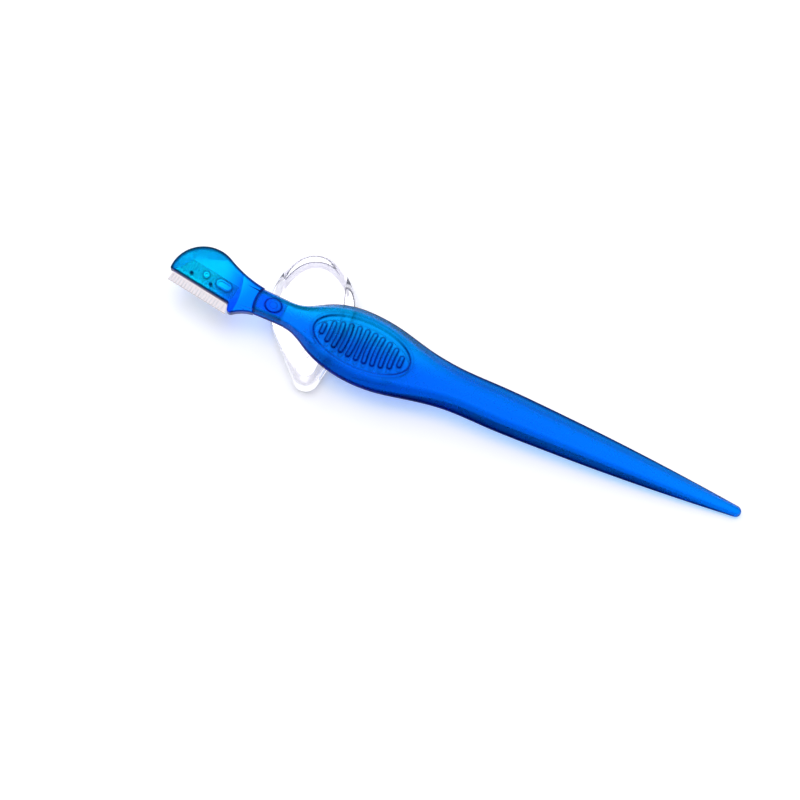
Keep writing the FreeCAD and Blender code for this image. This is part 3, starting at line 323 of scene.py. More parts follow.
def tinted_plastic(name, colours, part, density):
    """Translucent dyed polystyrene, injection moulded: clouds in the dye, a side made lighter as painted
    light, and navy outlines of painted shade where the eye looks along a wall and so through most dye."""
    blue, cloud, pale, glow, rough, clear = (
        getattr(colours, f"{part}_{word}") for word in ("blue", "cloud", "pale", "glow", "rough", "clear"))
    material, tree = new_material(name)
    coordinates = add_node(tree, "ShaderNodeTexCoord")
    place = coordinates.outputs["Object"]
    clouds = add_node(tree, "ShaderNodeTexNoise", {"Vector": place, "Scale": DYE_CLOUDS, "Detail": 2.0})
    clouds = add_node(tree, "ShaderNodeMapRange",
                      {"Value": clouds.outputs["Fac"], "From Min": 0.3, "From Max": 0.7, "To Max": 0.3},
                      interpolation_type="SMOOTHSTEP")
    # painted shade: walls that stand steep to the razor's flat faces are darkened
    facing = add_node(tree, "ShaderNodeVectorMath",
                      {0: coordinates.outputs["Normal"], 1: (math.sin(LEAN), 0, math.cos(LEAN))},
                      operation="DOT_PRODUCT")
    flatness = add_node(tree, "ShaderNodeMath", {0: facing.outputs["Value"]}, operation="ABSOLUTE")
    steep = add_node(tree, "ShaderNodeMath", {0: flatness.outputs[0], 1: WALL_FALL, 2: WALL_SHADE},
                     operation="MULTIPLY_ADD")
    if part == "head":
        # painted light: the dome lighter about its middle, fading towards the neck
        painted_light_share = add_node(tree, "ShaderNodeMapRange",
                        {"Value": distance_from(tree, place, PAINTED_LIGHT_MIDDLE), "From Min": PAINTED_LIGHT_FAR * MM,
                         "From Max": PAINTED_LIGHT_NEAR * MM}, interpolation_type="SMOOTHSTEP").outputs["Result"]
        edge = head_shade_lines(tree, place)
    else:
        # painted light and painted shade: the handle's lighter far side and its darkened edges, read from its
        # points
        painted_light_share, edge = (add_node(tree, "ShaderNodeAttribute", attribute_name=word).outputs["Fac"]
                      for word in ("pale", "edge"))
    # painted shade: the darker of the outline lines and the steep walls
    painted_shade = add_node(tree, "ShaderNodeMath", {0: edge, 1: steep.outputs[0]}, operation="MAXIMUM").outputs[0]
    dyed = (*blue, 1)
    for factor, colour in ((clouds.outputs["Result"], cloud), (painted_light_share, pale), (painted_shade, colours.painted_shade_navy)):
        mixed = add_node(tree, "ShaderNodeMix", {"Factor": factor, MIX_A: dyed, MIX_B: (*colour, 1)},
                         data_type="RGBA")
        dyed = mixed.outputs[MIX_RESULT]
    shader = add_node(tree, "ShaderNodeBsdfPrincipled",
                      {"Base Color": dyed, "IOR": 1.4, "Specular IOR Level": 0.2,
                       "Specular Tint": (*colours.gloss_tint, 1), "Transmission Weight": clear})
    mould_finish(tree, shader, place, rough)
    # lamp light that crosses the plastic reaches the table dyed
    path = add_node(tree, "ShaderNodeLightPath")
    veil = add_node(tree, "ShaderNodeBsdfTransparent", {"Color": (*glow, 1)})
    body = add_node(tree, "ShaderNodeMixShader",
                    {0: path.outputs["Is Shadow Ray"], 1: shader.outputs[0], 2: veil.outputs[0]})
    volume = add_node(tree, "ShaderNodeVolumeAbsorption",
                      {"Color": (*colours.dye_depth, 1), "Density": density})
    add_node(tree, "ShaderNodeOutputMaterial", {"Surface": body.outputs[0], "Volume": volume.outputs[0]})
    return material


def clear_plastic(colours):
    """Clear polystyrene, injection moulded: a gloss finish, and a lavender cast in its depth that
    lets the walls show as fine lines."""
    material, tree = new_material("polystyrene_clear_moulded")
    shader = add_node(tree, "ShaderNodeBsdfPrincipled",
                      {"Base Color": (*colours.cap_clear, 1), "IOR": 1.5, "Transmission Weight": 1.0})
    mould_finish(tree, shader, add_node(tree, "ShaderNodeTexCoord").outputs["Object"], colours.cap_rough)
    volume = add_node(tree, "ShaderNodeVolumeAbsorption",
                      {"Color": (*colours.cap_depth, 1), "Density": CAP_DENSITY})
    add_node(tree, "ShaderNodeOutputMaterial", {"Surface": shader.outputs[0], "Volume": volume.outputs[0]})
    return material


def steel(name, skin_and_shade, bright, worn, rough, marks):
    """Cold-rolled strip steel: darker inside the head, as painted shade and, on the blade, for its
    rolled surface; bright outside, where it is ground or polished, with fine marks across the razor
    that spread its shine."""
    material, tree = new_material(name)
    place = add_node(tree, "ShaderNodeTexCoord").outputs["Object"]
    # painted shade, and for the blade its rolled surface: darker inward of the shaving edge, bright outside
    # it
    outside = add_node(tree, "ShaderNodeMapRange",
                       {"Value": from_edge(tree, place, (0, 1)), "From Min": 0.3 * MM, "From Max": 0.0},
                       interpolation_type="SMOOTHSTEP")
    squeeze = add_node(tree, "ShaderNodeMapping", {"Vector": place, "Rotation": (0, 0, -EDGE_TURN),
                                                   "Scale": (1, MARK_STRETCH, MARK_STRETCH)})
    scratch = add_node(tree, "ShaderNodeTexNoise", {"Vector": squeeze.outputs[0], "Scale": 1 / (marks * MM),
                                                    "Detail": 3.0}).outputs["Fac"]
    scratched = add_node(tree, "ShaderNodeMapRange", {"Value": scratch, "From Min": 0.35, "From Max": 0.65,
                                                      "To Max": 0.3}, interpolation_type="SMOOTHSTEP")
    finish = (*skin_and_shade, 1)
    for factor, colour in ((outside, bright), (scratched, worn)):
        mixed = add_node(tree, "ShaderNodeMix", {"Factor": factor.outputs["Result"], MIX_A: finish,
                                                 MIX_B: (*colour, 1)}, data_type="RGBA")
        finish = mixed.outputs[MIX_RESULT]
    polish = add_node(tree, "ShaderNodeMapRange",
                      {"Value": scratch, "From Min": 0.3, "From Max": 0.7,
                       "To Min": rough - 0.06, "To Max": rough + 0.06}, interpolation_type="SMOOTHSTEP")
    bump = add_node(tree, "ShaderNodeBump", {"Height": scratch, "Strength": 0.2, "Distance": 0.01 * MM})
    shader = add_node(tree, "ShaderNodeBsdfPrincipled",
                      {"Metallic": 1.0, "Base Color": finish, "Roughness": polish.outputs["Result"],
                       "Normal": bump.outputs[0]})
    add_node(tree, "ShaderNodeOutputMaterial", {"Surface": shader.outputs[0]})
    return material


# ---------------------------------------------------------------- surfaces


def smooth_run(at, knots, values):
    """Natural cubic spline: piecewise cubics through the knots, with even slope and curvature."""
    step = np.diff(knots)
    inner = np.arange(1, len(knots) - 1)
    system = np.eye(len(knots))
    system[inner, inner - 1] = step[:-1]
    system[inner, inner] = 2 * (step[:-1] + step[1:])
    system[inner, inner + 1] = step[1:]
    turning = np.zeros_like(values)
    turning[1:-1] = 6 * np.diff(np.diff(values, axis=0) / step[:, None], axis=0)
    bend = np.linalg.solve(system, turning)
    k = np.clip(np.searchsorted(knots, at) - 1, 0, len(knots) - 2)
    run, done, left = step[k][:, None], (at - knots[k])[:, None], (knots[k + 1] - at)[:, None]
    return ((bend[k] * left ** 3 + bend[k + 1] * done ** 3) / (6 * run)
            + (values[k] / run - bend[k] * run / 6) * left
            + (values[k + 1] / run - bend[k + 1] * run / 6) * done)


def ease(share):
    """0 below 0, 1 above 1, and 3s^2 - 2s^3 between."""
    share = np.clip(share, 0, 1)
    return share * share * (3 - 2 * share)


def spaced(*stops):
    """Numbers from stop to stop, evenly spaced: (start, count, next start, count, ..., end)."""
    parts = [np.linspace(stops[i], stops[i + 2], stops[i + 1], endpoint=False)
             for i in range(0, len(stops) - 1, 2)]
    return np.concatenate(parts + [stops[-1:]])


def octagon_ring(wide, thick, facet, side, turn, counts):
    """Rounded eight-sided rings, one per row: straight runs between corners, and at each corner
    the parabola that touches both edges at a distance turn from it. Arrays of shape (rows,)."""
    y = np.stack([-facet, facet, wide, wide, facet, -facet, -wide, -wide], -1)
    z = np.stack([thick, thick, side, -side, -thick, -thick, -side, side], -1)
    corner = np.stack([y, z], -1)
    after, before = np.roll(corner, -1, 1) - corner, np.roll(corner, 1, 1) - corner
    out = after / np.linalg.norm(after, axis=-1, keepdims=True)
    back = before / np.linalg.norm(before, axis=-1, keepdims=True)
    turn = turn[:, None, None]
    enter, leave = corner + back * turn, corner + out * turn
    nexts = np.roll(enter, -1, 1)
    points = []
    share = np.linspace(0, 1, 5)[:-1, None]
    for k in range(8):
        a, b, c = enter[:, k, None], corner[:, k, None], leave[:, k, None]
        points.append((1 - share) ** 2 * a + 2 * share * (1 - share) * b + share ** 2 * c)
        run = np.linspace(0, 1, counts[k] + 1)[:-1, None]
        points.append(c * (1 - run) + nexts[:, k, None] * run)
    return np.concatenate(points, 1)


def grid_faces(rows, columns):
    """Quads of a grid of points whose columns close into a ring, as rows of four indices."""
    i, j = np.meshgrid(np.arange(rows - 1), np.arange(columns), indexing="ij")
    k = (j + 1) % columns
    a, b, c, d = i * columns + j, (i + 1) * columns + j, (i + 1) * columns + k, i * columns + k
    return np.stack([a, b, c, d], -1).reshape(-1, 4)


def fan_faces(ring, pole, flip):
    """Triangles between a ring of indices and a pole."""
    nexts = np.roll(ring, -1)
    first, second = (nexts, ring) if flip else (ring, nexts)
    return np.stack([first, second, np.full_like(ring, pole)], -1)


def build_mesh(name, points, quads, triangles, values=None):
    """A smooth mesh object from arrays of points, quads and triangles. Each named array of values
    becomes a point attribute."""
    mesh = bpy.data.meshes.new(name)
    mesh.vertices.add(len(points))
    mesh.vertices.foreach_set("co", np.asarray(points, np.float32).ravel())
    corners = np.concatenate([quads.ravel(), triangles.ravel()]).astype(np.int32)
    sizes = np.concatenate([np.full(len(quads), 4), np.full(len(triangles), 3)])
    mesh.loops.add(len(corners))
    mesh.loops.foreach_set("vertex_index", corners)
    mesh.polygons.add(len(sizes))
    mesh.polygons.foreach_set("loop_start", np.concatenate([[0], np.cumsum(sizes)[:-1]]).astype(np.int32))
    mesh.polygons.foreach_set("use_smooth", np.ones(len(sizes), bool))
    for word, numbers in (values or {}).items():
        layer = mesh.attributes.new(word, "FLOAT", "POINT")
        layer.data.foreach_set("value", np.asarray(numbers, np.float32).ravel())
    mesh.update(calc_edges=True)
    mesh.validate()
    piece = bpy.data.objects.new(name, mesh)
    bpy.context.scene.collection.objects.link(piece)
    return piece


# ---------------------------------------------------------------- handle, in millimetres

# where each section stands, its half width, half thickness, half width of the flat face, and how far
# its middle lies off the axis
SECTIONS = np.array([
    (22.2, 3.42, 2.1, 2.6, 0.0), (29.0, 3.3, 2.15, 2.4, 0.0), (33.5, 3.7, 2.4, 2.8, -0.1),
    (39.0, 6.6, 2.85, 4.7, -0.05), (44.5, 8.6, 3.0, 6.4, -0.05), (51.5, 9.3, 3.0, 7.0, -0.3),
    (58.0, 8.72, 3.0, 6.2, -0.5), (65.5, 7.07, 2.8, 4.3, -0.6)])
# the shaft's first and last section, and how its width narrows between them
SHAFT = np.array([75.0, 5.65, 2.45, 2.5, -0.43])
TIP = np.array([148.6, 1.42, 1.2, 0.7, 0.0])
NARROWING = 1.9
# where the rows past the seam stand straight, the end of the tail, and the socket for the tang
STRAIGHT_AT, TAIL_END = 24.4, 150.0
SOCKET_END, SOCKET_WIDE, SOCKET_THICK = 30.2, 1.84, 1.14
# rows along it, close together at the neck's raised oval and at the grip: stop, rows, next stop
ROWS = (SEAM_AT, 8, STRAIGHT_AT, 44, 30.4, 13, 37.2, 200, 64.0, 70, TIP[0])
# points on each straight run of a row's eight sides, and how much of the half thickness the narrow
# side's half height and the corners' rounding take
RUNS, CORNER = (88, 6, 3, 6, 88, 6, 3, 6), 0.16
# the grip's oval: its middle and the width of its wall
GRIP, OVAL_WALL = (50.65, -0.3), 0.5
# its bars: the ellipse that shortens them, how many stand each side of the middle one, how far one
# bows whose half length is BAR_BOW_AT, and how much of the oval's depth they fill
BARS_LONG, BARS_EACH_SIDE, BAR_BOW, BAR_BOW_AT, BAR_RISE = 21.9, 5, 0.34, 4.1, 0.9
# the neck's raised oval: its middle, its half axes and about their mean
BOSS_AT, BOSS_LONG, BOSS_WIDE, BOSS_MEAN = 27.2, 2.2, 1.85, 2.0


def handle_sections():
    """The table of sections with those of the shaft: linear in s but for the width, linear in
    s^1.9."""
    share = np.array([0.0, 0.14, 0.32, 0.5, 0.68, 0.85, 1.0])[:, None]
    shaft = SHAFT + (TIP - SHAFT) * share
    shaft[:, 1:2] = SHAFT[1] + (TIP[1] - SHAFT[1]) * share ** NARROWING
    return np.concatenate([SECTIONS, shaft])


def pill_distance(x, y, middle, bow, half_long, half_wide):
    """Distance outside a bar with round ends whose middle line bows along x as a parabola."""
    reach = half_long - half_wide
    line = middle + bow * (1 - (np.clip(y, -reach, reach) / half_long) ** 2)
    beyond = np.maximum(np.abs(y) - reach, 0)
    return np.hypot(x - line, beyond) - half_wide


def line_at(distance, middle, wide):
    """A painted line of shade: exp(-((distance - middle) / wide)^2)."""
    return np.exp(-((distance - middle) / wide) ** 2)


def grip_relief(x, y, sizes):
    """Depth of the grip at a point of the face, and the strength of its painted shade lines: a sunk
    oval whose wall eases down, and eleven bars that stand in it, shorter towards its ends. With
    f = hypot(x / a, y / b), the distance inside the oval is about (1 - f) / |grad f|."""
    a, b = sizes.oval_long / MM, sizes.oval_wide / MM
    x, y = x - GRIP[0], y - GRIP[1]
    flat = np.hypot(x / a, y / b)
    slope = np.hypot(x / a ** 2, y / b ** 2) / np.maximum(flat, 1e-6)
    inside = (1 - flat) / np.maximum(slope, 1e-6)
    sunk = sizes.oval_deep / MM
    # painted shade: the oval's line is double, and heavier round its ends
    ends = 0.35 + 0.65 * ease((np.abs(x) - 5.0) / 6.0)
    oval_shade = line_at(inside, 0.2, 0.32) * ends + 0.35 * line_at(inside, -0.6, 0.2)
    bars = np.full_like(x, np.inf)
    for i in range(-BARS_EACH_SIDE, BARS_EACH_SIDE + 1):
        off = i * sizes.bar_pitch / MM
        half = sizes.bar_long / 2 / MM * math.sqrt(1 - (2 * off / BARS_LONG) ** 2)
        bow = -BAR_BOW * np.sign(i) * (half / BAR_BOW_AT) ** 2
        bars = np.minimum(bars, pill_distance(x, y, off - 0.35 * bow, bow, half, sizes.bar_wide / MM))
    depth = sunk * (ease(inside / OVAL_WALL) - BAR_RISE * ease((0.08 - bars) / 0.26))
    return depth, np.maximum(oval_shade, line_at(bars, -0.02, 0.3))


def seam_line(y):
    """Where the seam lies along the razor: on a circle that bulges towards the head."""
    return SEAM_AT + SEAM_RADIUS - np.sqrt(SEAM_RADIUS ** 2 - np.clip(y, -4, 4) ** 2)


def handle_skin(sizes):
    """The handle's outside as rows of eight-sided rings: places along, across and through it, and
    how dark its painted shade is, from 0 to 1."""
    table = handle_sections()
    along = spaced(*ROWS)
    wide, thick, facet, off = smooth_run(along, table[:, 0], table[:, 1:]).T
    ring = octagon_ring(wide, thick, facet, CORNER * thick, CORNER * thick, RUNS)
    x = np.repeat(along[:, None], ring.shape[1], 1)
    aside, z = ring[..., 0], ring[..., 1]
    y = aside + off[:, None]
    # the first rows follow the seam
    seam = seam_line(y)
    x = np.where(x < STRAIGHT_AT, seam + (STRAIGHT_AT - seam) * (x - SEAM_AT) / (STRAIGHT_AT - SEAM_AT), x)
    depth, edge = grip_relief(x, y, sizes)
    on_face = np.abs(aside) < facet[:, None]
    depth, edge = depth * on_face, edge * on_face * np.where(z > 0, 1, 0.4)
    # painted shade: the narrow sides and, less, the bevels are darkened, the near bevels more than the far
    # ones, partly for the dye that lies behind them
    beside = (np.abs(aside) - facet[:, None]) / (wide - facet)[:, None]
    bevel = np.where(aside < 0, 0.5, 0.35)
    edge = np.maximum(edge, bevel * ease(beside / 0.3) + (1 - bevel) * ease((beside - 0.7) / 0.15))
    z = z - np.sign(z) * depth
    # the raised oval on the neck, with its double line of painted shade
    inside = (1 - np.hypot((x - BOSS_AT) / BOSS_LONG, y / BOSS_WIDE)) * BOSS_MEAN
    upper = z > 1
    z = np.where(upper & (inside > 0), z + (sizes.boss_high / MM - z) * ease(inside / 0.3), z)
    edge = np.maximum(edge, (line_at(inside, 0.1, 0.3) + 0.5 * line_at(inside, 1.1, 0.16)) * upper)
    return x, y, z, np.maximum(edge, line_at(x, seam, 0.4))


def rounded_tail(y, z):
    """Rows that close the tail: the last ring shrinks by cos t while it moves on by sin t."""
    bend = np.linspace(0, math.pi / 2, 10)[1:-1]
    x = TIP[0] + (TAIL_END - TIP[0]) * np.sin(bend)
    shrink = np.cos(bend)[:, None]
    return np.repeat(x[:, None], len(y), 1), y * shrink, z * shrink


def seam_and_socket(y, z):
    """Rows from the end of the socket out to its mouth, and over the seam's face to the first ring."""
    one = np.ones(1)
    hole = octagon_ring(SOCKET_WIDE * one, SOCKET_THICK * one, (SOCKET_WIDE - 0.03) * one,
                        (SOCKET_THICK - 0.03) * one, 0.01 * one, RUNS)[0]
    rows = [(np.full(len(hole), place), hole * size)
            for place, size in ((SOCKET_END, 0.05), (SOCKET_END, 0.97), (SOCKET_END - 0.03, 1), (26.0, 1))]
    rows.append((seam_line(hole[:, 0]) + 0.03, hole))
    rim = np.stack([y, z], -1)
    for share in (0.0, 0.02, 0.5, 0.985):
        ring = hole * (1 - share) + rim * share
        rows.append((seam_line(ring[:, 0]), ring))
    x = np.stack([place for place, _ in rows])
    ring = np.stack([ring for _, ring in rows])
    return x, ring[..., 0], ring[..., 1]


class RAZOR_OT_handle(bpy.types.Operator):
    """Handle: rounded eight-sided sections along a spline, with the grip's relief on both faces"""
    bl_idname = "razor.handle"
    bl_label = "Handle"

    def execute(self, context):
        sizes, colours = context.scene.razor_sizes, context.scene.razor_colours
        x, y, z, edge = handle_skin(sizes)
        grids = (seam_and_socket(y[0], z[0]), (x, y, z), rounded_tail(y[-1], z[-1]))
        x, y, z = (np.concatenate(parts) for parts in zip(*grids))
        edge = np.pad(edge, ((len(grids[0][0]), len(grids[2][0])), (0, 0)))
        # painted light: the far side of the neck and grip is coloured lighter than the near side, as if light
        # from the far side came through it
        pale = ease((y + 1.5) / 5.0) * ease((x - 24.0) / 6.0) * ease((78.0 - x) / 25.0)
        count, columns = x.shape
        total = count * columns
        poles = on_razor(np.array([SOCKET_END, TAIL_END]), np.zeros(2), np.zeros(2))
        points = np.concatenate([on_razor(x, y, z).reshape(-1, 3), poles])
        ring = np.arange(columns)
        fans = np.concatenate([fan_faces(ring, total, False),
                               fan_faces(ring + total - columns, total + 1, True)])
        piece = build_mesh("handle_body", points, grid_faces(count, columns), fans,
                           {word: np.concatenate([values.ravel(), [0, 0]])
                            for word, values in (("edge", edge), ("pale", pale))})
        piece.data.materials.append(tinted_plastic("polystyrene_blue_spark_eroded", colours, "handle",
                                                   HANDLE_DENSITY))
        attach(piece, "handle")
        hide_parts("handle")
        return {"FINISHED"}


# ---------------------------------------------------------------- comb guard, in millimetres

# half the blade's thickness, and the room between it and the foil
BLADE_HALF, FOIL_GAP = 0.1, 0.015
# how far the fold stands out of the edge, and the foil's rows between it and the foil's root
FOIL_OUT = 2.58
FOIL_ROWS = np.array([1.3, 0.7, 0.3, 0.0, -0.3, -0.6, -0.95, -1.25, -1.6, -1.95, -2.25])
# the slots: how many, and the row that they reach on either side of the fold
SLOTS, SLOT_ROW = 19, 5
# the foil's ends along the edge, and the row after its last slot
FOIL_START, FOIL_LAST, FOIL_END = 0.97, 16.75, 17.38
# at the tip its root follows the dome from a point at a slope, at the heel it slants over a height
ROOT_FROM, ROOT_SLOPE, HEEL_SLANT, HEEL_HIGH = (0.88, -0.12), 0.68 / 1.45, 1.0, 2.61


def shell_faces(kept):
    """Faces of a sheet with thickness whose cells are kept or left out. Outer points come first,
    then as many inner ones: each kept cell gives two faces, each border between kept and not
    kept gives a wall. All are rows of four indices."""
    rows, columns = kept.shape
    i, j = np.nonzero(kept)

    def at(i, j, layer):
        return i * (columns + 1) + j + layer * (rows + 1) * (columns + 1)

    faces = [np.stack([at(i, j, 0), at(i, j + 1, 0), at(i + 1, j + 1, 0), at(i + 1, j, 0)], -1),
             np.stack([at(i, j, 1), at(i + 1, j, 1), at(i + 1, j + 1, 1), at(i, j + 1, 1)], -1)]
    wide = np.pad(kept, 1).astype(int)
    for change, down in ((np.diff(wide[:, 1:-1], axis=0), True), (np.diff(wide[1:-1], axis=1), False)):
        for sign in (1, -1):
            i, j = np.nonzero(change == sign)
            a, b = (i, j), ((i, j + 1) if down else (i + 1, j))
            if (sign > 0) == down:
                a, b = b, a
            faces.append(np.stack([at(*a, 0), at(*b, 0), at(*b, 1), at(*a, 1)], -1))
    return np.concatenate(faces)


def comb_foil(sizes):
    """Points and faces of the foil: its middle surface is a path folded over the shaving edge,
    carried along it, and its slots have ends that bend back by r (1 - sqrt(1 - t^2))."""
    half, slot = sizes.foil_thick / 2 / MM, sizes.slot_wide / MM
    fold = BLADE_HALF + FOIL_GAP + half
    turn = np.linspace(math.pi / 2, math.pi * 1.5, 11)
    flat = np.zeros(len(FOIL_ROWS))
    across = np.concatenate([FOIL_ROWS, half + fold - FOIL_OUT + fold * np.cos(turn), FOIL_ROWS[::-1]])
    up = np.concatenate([flat + fold, fold * np.sin(turn), flat - fold])
    out_y = np.concatenate([flat, np.cos(turn), flat])
    out_z = np.concatenate([flat + 1, np.sin(turn), flat - 1])
    shares = np.array([-1, -0.8, -0.4, 0, 0.4, 0.8, 1])
    middles = sizes.slot_start / MM + slot + sizes.slot_pitch / MM * np.arange(SLOTS)
    along = np.concatenate([[FOIL_START], (middles[:, None] + slot * shares).ravel(), [FOIL_LAST, FOIL_END]])
    x, y = np.meshgrid(along, across, indexing="ij")
    z = np.repeat(up[None], len(along), 0)
    x[0] = np.maximum(FOIL_START, ROOT_FROM[0] + ROOT_SLOPE * (y[0] - ROOT_FROM[1]))
    x[-1] = FOIL_END + HEEL_SLANT * (np.clip(-y[-1] / HEEL_HIGH, 0, 1) - 1)
    x[-2] = (x[-3] + x[-1]) / 2
    bend = np.zeros(len(along))
    bend[1:-2] = np.tile(slot * (1 - np.sqrt(1 - shares ** 2)), SLOTS)
    last_row = len(across) - 1 - SLOT_ROW
    y[:, [SLOT_ROW, last_row]] -= bend[:, None]
    in_slot = np.zeros(len(along) - 1, bool)
    in_slot[1:-2] = np.tile(np.arange(len(shares)) < len(shares) - 1, SLOTS)[:-1]
    kept = np.ones((len(along) - 1, len(across) - 1), bool)
    kept[in_slot, SLOT_ROW:last_row] = False
    sides = [on_edge(x, y + off * out_y, z + off * out_z).reshape(-1, 3) for off in (half, -half)]
    used, quads = np.unique(shell_faces(kept), return_inverse=True)
    return np.concatenate(sides)[used], quads.reshape(-1, 4)


class RAZOR_OT_comb_guard(bpy.types.Operator):
    """Comb guard: a slotted foil folded over the shaving edge"""
    bl_idname = "razor.comb_guard"
    bl_label = "Comb guard"

    def execute(self, context):
        colours = context.scene.razor_colours
        points, quads = comb_foil(context.scene.razor_sizes)
        piece = build_mesh("comb_foil", points, quads, np.zeros((0, 3), int))
        piece.data.set_sharp_from_angle(angle=math.radians(40))
        piece.data.materials.append(steel("steel_foil_rolled", colours.foil_painted_shade, colours.foil_bright,
                                          colours.foil_worn, colours.foil_rough, FOIL_MARKS))
        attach(piece, "head")
        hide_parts("comb_guard")
        return {"FINISHED"}


# ---------------------------------------------------------------- stage

TABLE_HALF = 1.5
# light that the table adds to its own for the eye and in the gloss, and through the plastic
FLOOR_LIFT, THROUGH_LIFT = 0.25, 0.3
# the card beyond the razor: its near and far sides, half its width, and how high it lies
CARD_NEAR, CARD_FAR, CARD_HALF, CARD_HIGH = -2.9 * MM, 0.3, 0.3, 0.2 * MM
# the sky is bright about one direction: the direction, the dot products with it where the bright
# part begins and is full, and the strengths there
SKY_TOWARD, SKY_RANGE, SKY_STRENGTH = (-0.14, 0.32, 0.9), (0.35, 0.85), (0.12, 1.05)
# soft lamps: name, place, width, watts, seen in the gloss
SOFTBOXES = (("top_softbox", (-0.06, 0.03, 0.99), 0.5, 3.8, False),
             ("left_softbox", (-0.9, 0.1, 0.5), 0.8, 1.5, True))
# the camera: which way it looks, at what, from how far, and its lens
VIEW_AZIMUTH, VIEW_ELEVATION = math.radians(23.42), math.radians(72)
VIEW_MIDDLE, VIEW_DISTANCE = Vector((-10.92, -10.80, 7.06)) * MM, 455.09 * MM
LENS, SENSOR = 85.0, 36.0


def add_sheet(name, near, far, half, level, material):
    """A level rectangle of the stage."""
    mesh = bpy.data.meshes.new(name)
    mesh.from_pydata([(-half, near, level), (half, near, level), (half, far, level), (-half, far, level)],
                     [], [(0, 1, 2, 3)])
    mesh.materials.append(material)
    sheet = bpy.data.objects.new(name, mesh)
    bpy.context.scene.collection.objects.link(sheet)
    return sheet


def painted_table(colours):
    """White paint, brushed flat: it shows its white to the eye, in the gloss and through the plastic."""
    material, tree = new_material("painted_table_white")
    path = add_node(tree, "ShaderNodeLightPath")
    seen = add_node(tree, "ShaderNodeMath",
                    {0: path.outputs["Is Camera Ray"], 1: path.outputs["Is Glossy Ray"]}, operation="ADD")
    lift = add_node(tree, "ShaderNodeMath", {0: path.outputs["Is Transmission Ray"], 1: THROUGH_LIFT},
                    operation="MULTIPLY")
    lift = add_node(tree, "ShaderNodeMath", {0: seen.outputs[0], 1: FLOOR_LIFT, 2: lift.outputs[0]},
                    operation="MULTIPLY_ADD")
    place = add_node(tree, "ShaderNodeTexCoord").outputs["Object"]
    grain = add_node(tree, "ShaderNodeTexNoise", {"Vector": place, "Scale": 30.0, "Detail": 2.0})
    white = add_node(tree, "ShaderNodeMix", {"Factor": grain.outputs["Fac"], MIX_A: (*colours.table_white, 1),
                                             MIX_B: (*colours.table_grain, 1)}, data_type="RGBA")
    paint = add_node(tree, "ShaderNodeBsdfDiffuse", {"Color": white.outputs[MIX_RESULT]})
    glow = add_node(tree, "ShaderNodeEmission", {"Strength": lift.outputs[0]})
    both = add_node(tree, "ShaderNodeAddShader", {0: paint.outputs[0], 1: glow.outputs[0]})
    add_node(tree, "ShaderNodeOutputMaterial", {"Surface": both.outputs[0]})
    return material


def gloss_only_card(colours):
    """A grey sheet for a painted reflection: only the gloss sees it, as one even grey."""
    material, tree = new_material("gloss_only_grey")
    card_shader = add_node(tree, "ShaderNodeBsdfDiffuse", {"Color": (*colours.card_grey, 1)})
    add_node(tree, "ShaderNodeOutputMaterial", {"Surface": card_shader.outputs[0]})
    return material


def room_light(colours):
    """The world: a white that is bright about one direction and dim elsewhere."""
    world = bpy.data.worlds.new("studio")
    world.use_nodes = True
    tree = world.node_tree
    tree.nodes.clear()
    toward = add_node(tree, "ShaderNodeVectorMath",
                      {0: add_node(tree, "ShaderNodeTexCoord").outputs["Generated"], 1: SKY_TOWARD},
                      operation="DOT_PRODUCT")
    bright = add_node(tree, "ShaderNodeMapRange",
                      {"Value": toward.outputs["Value"], "From Min": SKY_RANGE[0], "From Max": SKY_RANGE[1],
                       "To Min": SKY_STRENGTH[0], "To Max": SKY_STRENGTH[1]}, interpolation_type="SMOOTHSTEP")
    sky = add_node(tree, "ShaderNodeBackground",
                   {"Color": (*colours.sky_white, 1), "Strength": bright.outputs["Result"]})
    add_node(tree, "ShaderNodeOutputWorld", {"Surface": sky.outputs[0]})
    return world


class RAZOR_OT_stage(bpy.types.Operator):
    """Table, card, soft lamps and the camera at the photograph's angle"""
    bl_idname = "razor.stage"
    bl_label = "Stage"

    def execute(self, context):
        scene, colours = context.scene, context.scene.razor_colours
        low = CAD_BOX[0][2]
        add_sheet("floor", -TABLE_HALF, TABLE_HALF, TABLE_HALF, low, painted_table(colours))
        # only the gloss sees the card: a painted reflection that draws the far outlines of the plastics grey
        card = add_sheet("dark_card", CARD_NEAR, CARD_FAR, CARD_HALF, low + CARD_HIGH, gloss_only_card(colours))
        card.visible_camera = card.visible_diffuse = card.visible_transmission = False
        card.visible_shadow = card.visible_volume_scatter = False
        scene.world = room_light(colours)
        for name, place, wide, watts, in_gloss in SOFTBOXES:
            lamp = bpy.data.lights.new(name, "AREA")
            lamp.size = wide
            lamp.energy = watts
            softbox = bpy.data.objects.new(name, lamp)
            softbox.location = place
            softbox.rotation_euler = (-Vector(place)).to_track_quat("-Z", "Y").to_euler()
            softbox.visible_glossy = in_gloss
            scene.collection.objects.link(softbox)
        lens = bpy.data.cameras.new("camera")
        lens.lens, lens.sensor_width = LENS, SENSOR
        lens.clip_start, lens.clip_end = 0.01, 10
        camera = bpy.data.objects.new("camera", lens)
        scene.collection.objects.link(camera)
        ahead = Vector((-math.sin(VIEW_AZIMUTH) * math.cos(VIEW_ELEVATION),
                        math.cos(VIEW_AZIMUTH) * math.cos(VIEW_ELEVATION), -math.sin(VIEW_ELEVATION)))
        camera.location = VIEW_MIDDLE - ahead * VIEW_DISTANCE
        camera.rotation_euler = ahead.to_track_quat("-Z", "Y").to_euler()
        scene.camera = camera
        scene.view_settings.view_transform = "Standard"
        return {"FINISHED"}


# ---------------------------------------------------------------- pieces that keep their CAD shapes


def finish(node, material):
    """Give a CAD node one material."""
    node.data.materials.clear()
    node.data.materials.append(material)


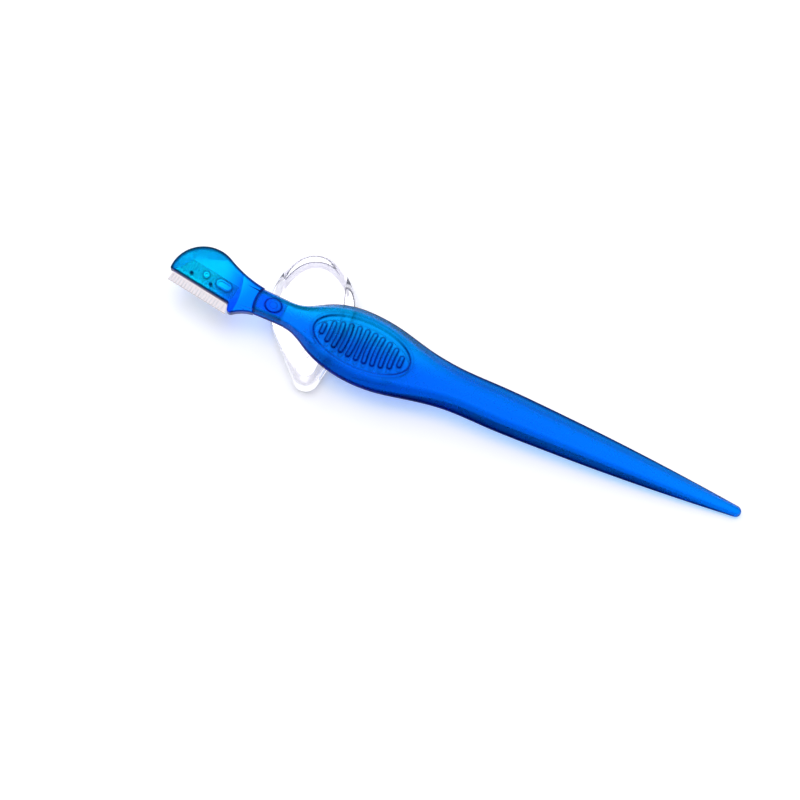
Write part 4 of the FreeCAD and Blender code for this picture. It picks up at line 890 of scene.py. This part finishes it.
class RAZOR_OT_head(bpy.types.Operator):
    """Both halves of the head in polished blue polystyrene"""
    bl_idname = "razor.head"
    bl_label = "Head"

    def execute(self, context):
        blue = tinted_plastic("polystyrene_blue_polished", context.scene.razor_colours, "head", HEAD_DENSITY)
        for name in ("blade_holder", "holder_cover"):
            finish(frame["nodes"][name], blue)
        return {"FINISHED"}


class RAZOR_OT_blade(bpy.types.Operator):
    """Blade in ground strip steel"""
    bl_idname = "razor.blade"
    bl_label = "Blade"

    def execute(self, context):
        colours = context.scene.razor_colours
        finish(frame["nodes"]["blade"], steel("steel_ground", colours.blade_skin_and_shade, colours.blade_ground,
                                              colours.blade_worn, colours.blade_rough, BLADE_MARKS))
        return {"FINISHED"}


class RAZOR_OT_cap(bpy.types.Operator):
    """Cap in clear polystyrene"""
    bl_idname = "razor.cap"
    bl_label = "Cap"

    def execute(self, context):
        finish(frame["nodes"]["cap"], clear_plastic(context.scene.razor_colours))
        return {"FINISHED"}


OPERATORS = (RAZOR_OT_stage, RAZOR_OT_head, RAZOR_OT_blade, RAZOR_OT_cap, RAZOR_OT_handle,
             RAZOR_OT_comb_guard)


class RAZOR_PT_panel(bpy.types.Panel):
    """The operators, in their order, and the sizes and colours they read"""
    bl_idname = "RAZOR_PT_panel"
    bl_label = "Eyebrow razor"
    bl_space_type = "VIEW_3D"
    bl_region_type = "UI"
    bl_category = "Razor"

    def draw(self, context):
        for operator in OPERATORS:
            self.layout.operator(operator.bl_idname)
        for group in (context.scene.razor_sizes, context.scene.razor_colours):
            for name in type(group).__annotations__:
                self.layout.prop(group, name)


CLASSES = (RazorSizes, RazorColours, *OPERATORS, RAZOR_PT_panel)


def register():
    for item in CLASSES:
        bpy.utils.register_class(item)
    bpy.types.Scene.razor_sizes = bpy.props.PointerProperty(type=RazorSizes)
    bpy.types.Scene.razor_colours = bpy.props.PointerProperty(type=RazorColours)


def unregister():
    del bpy.types.Scene.razor_colours
    del bpy.types.Scene.razor_sizes
    for item in reversed(CLASSES):
        bpy.utils.unregister_class(item)


def main():
    register()
    bpy.ops.razor.stage()
    bpy.ops.razor.head()
    bpy.ops.razor.blade()
    bpy.ops.razor.cap()
    bpy.ops.razor.handle()
    bpy.ops.razor.comb_guard()


if __name__ == "__main__":
    main()
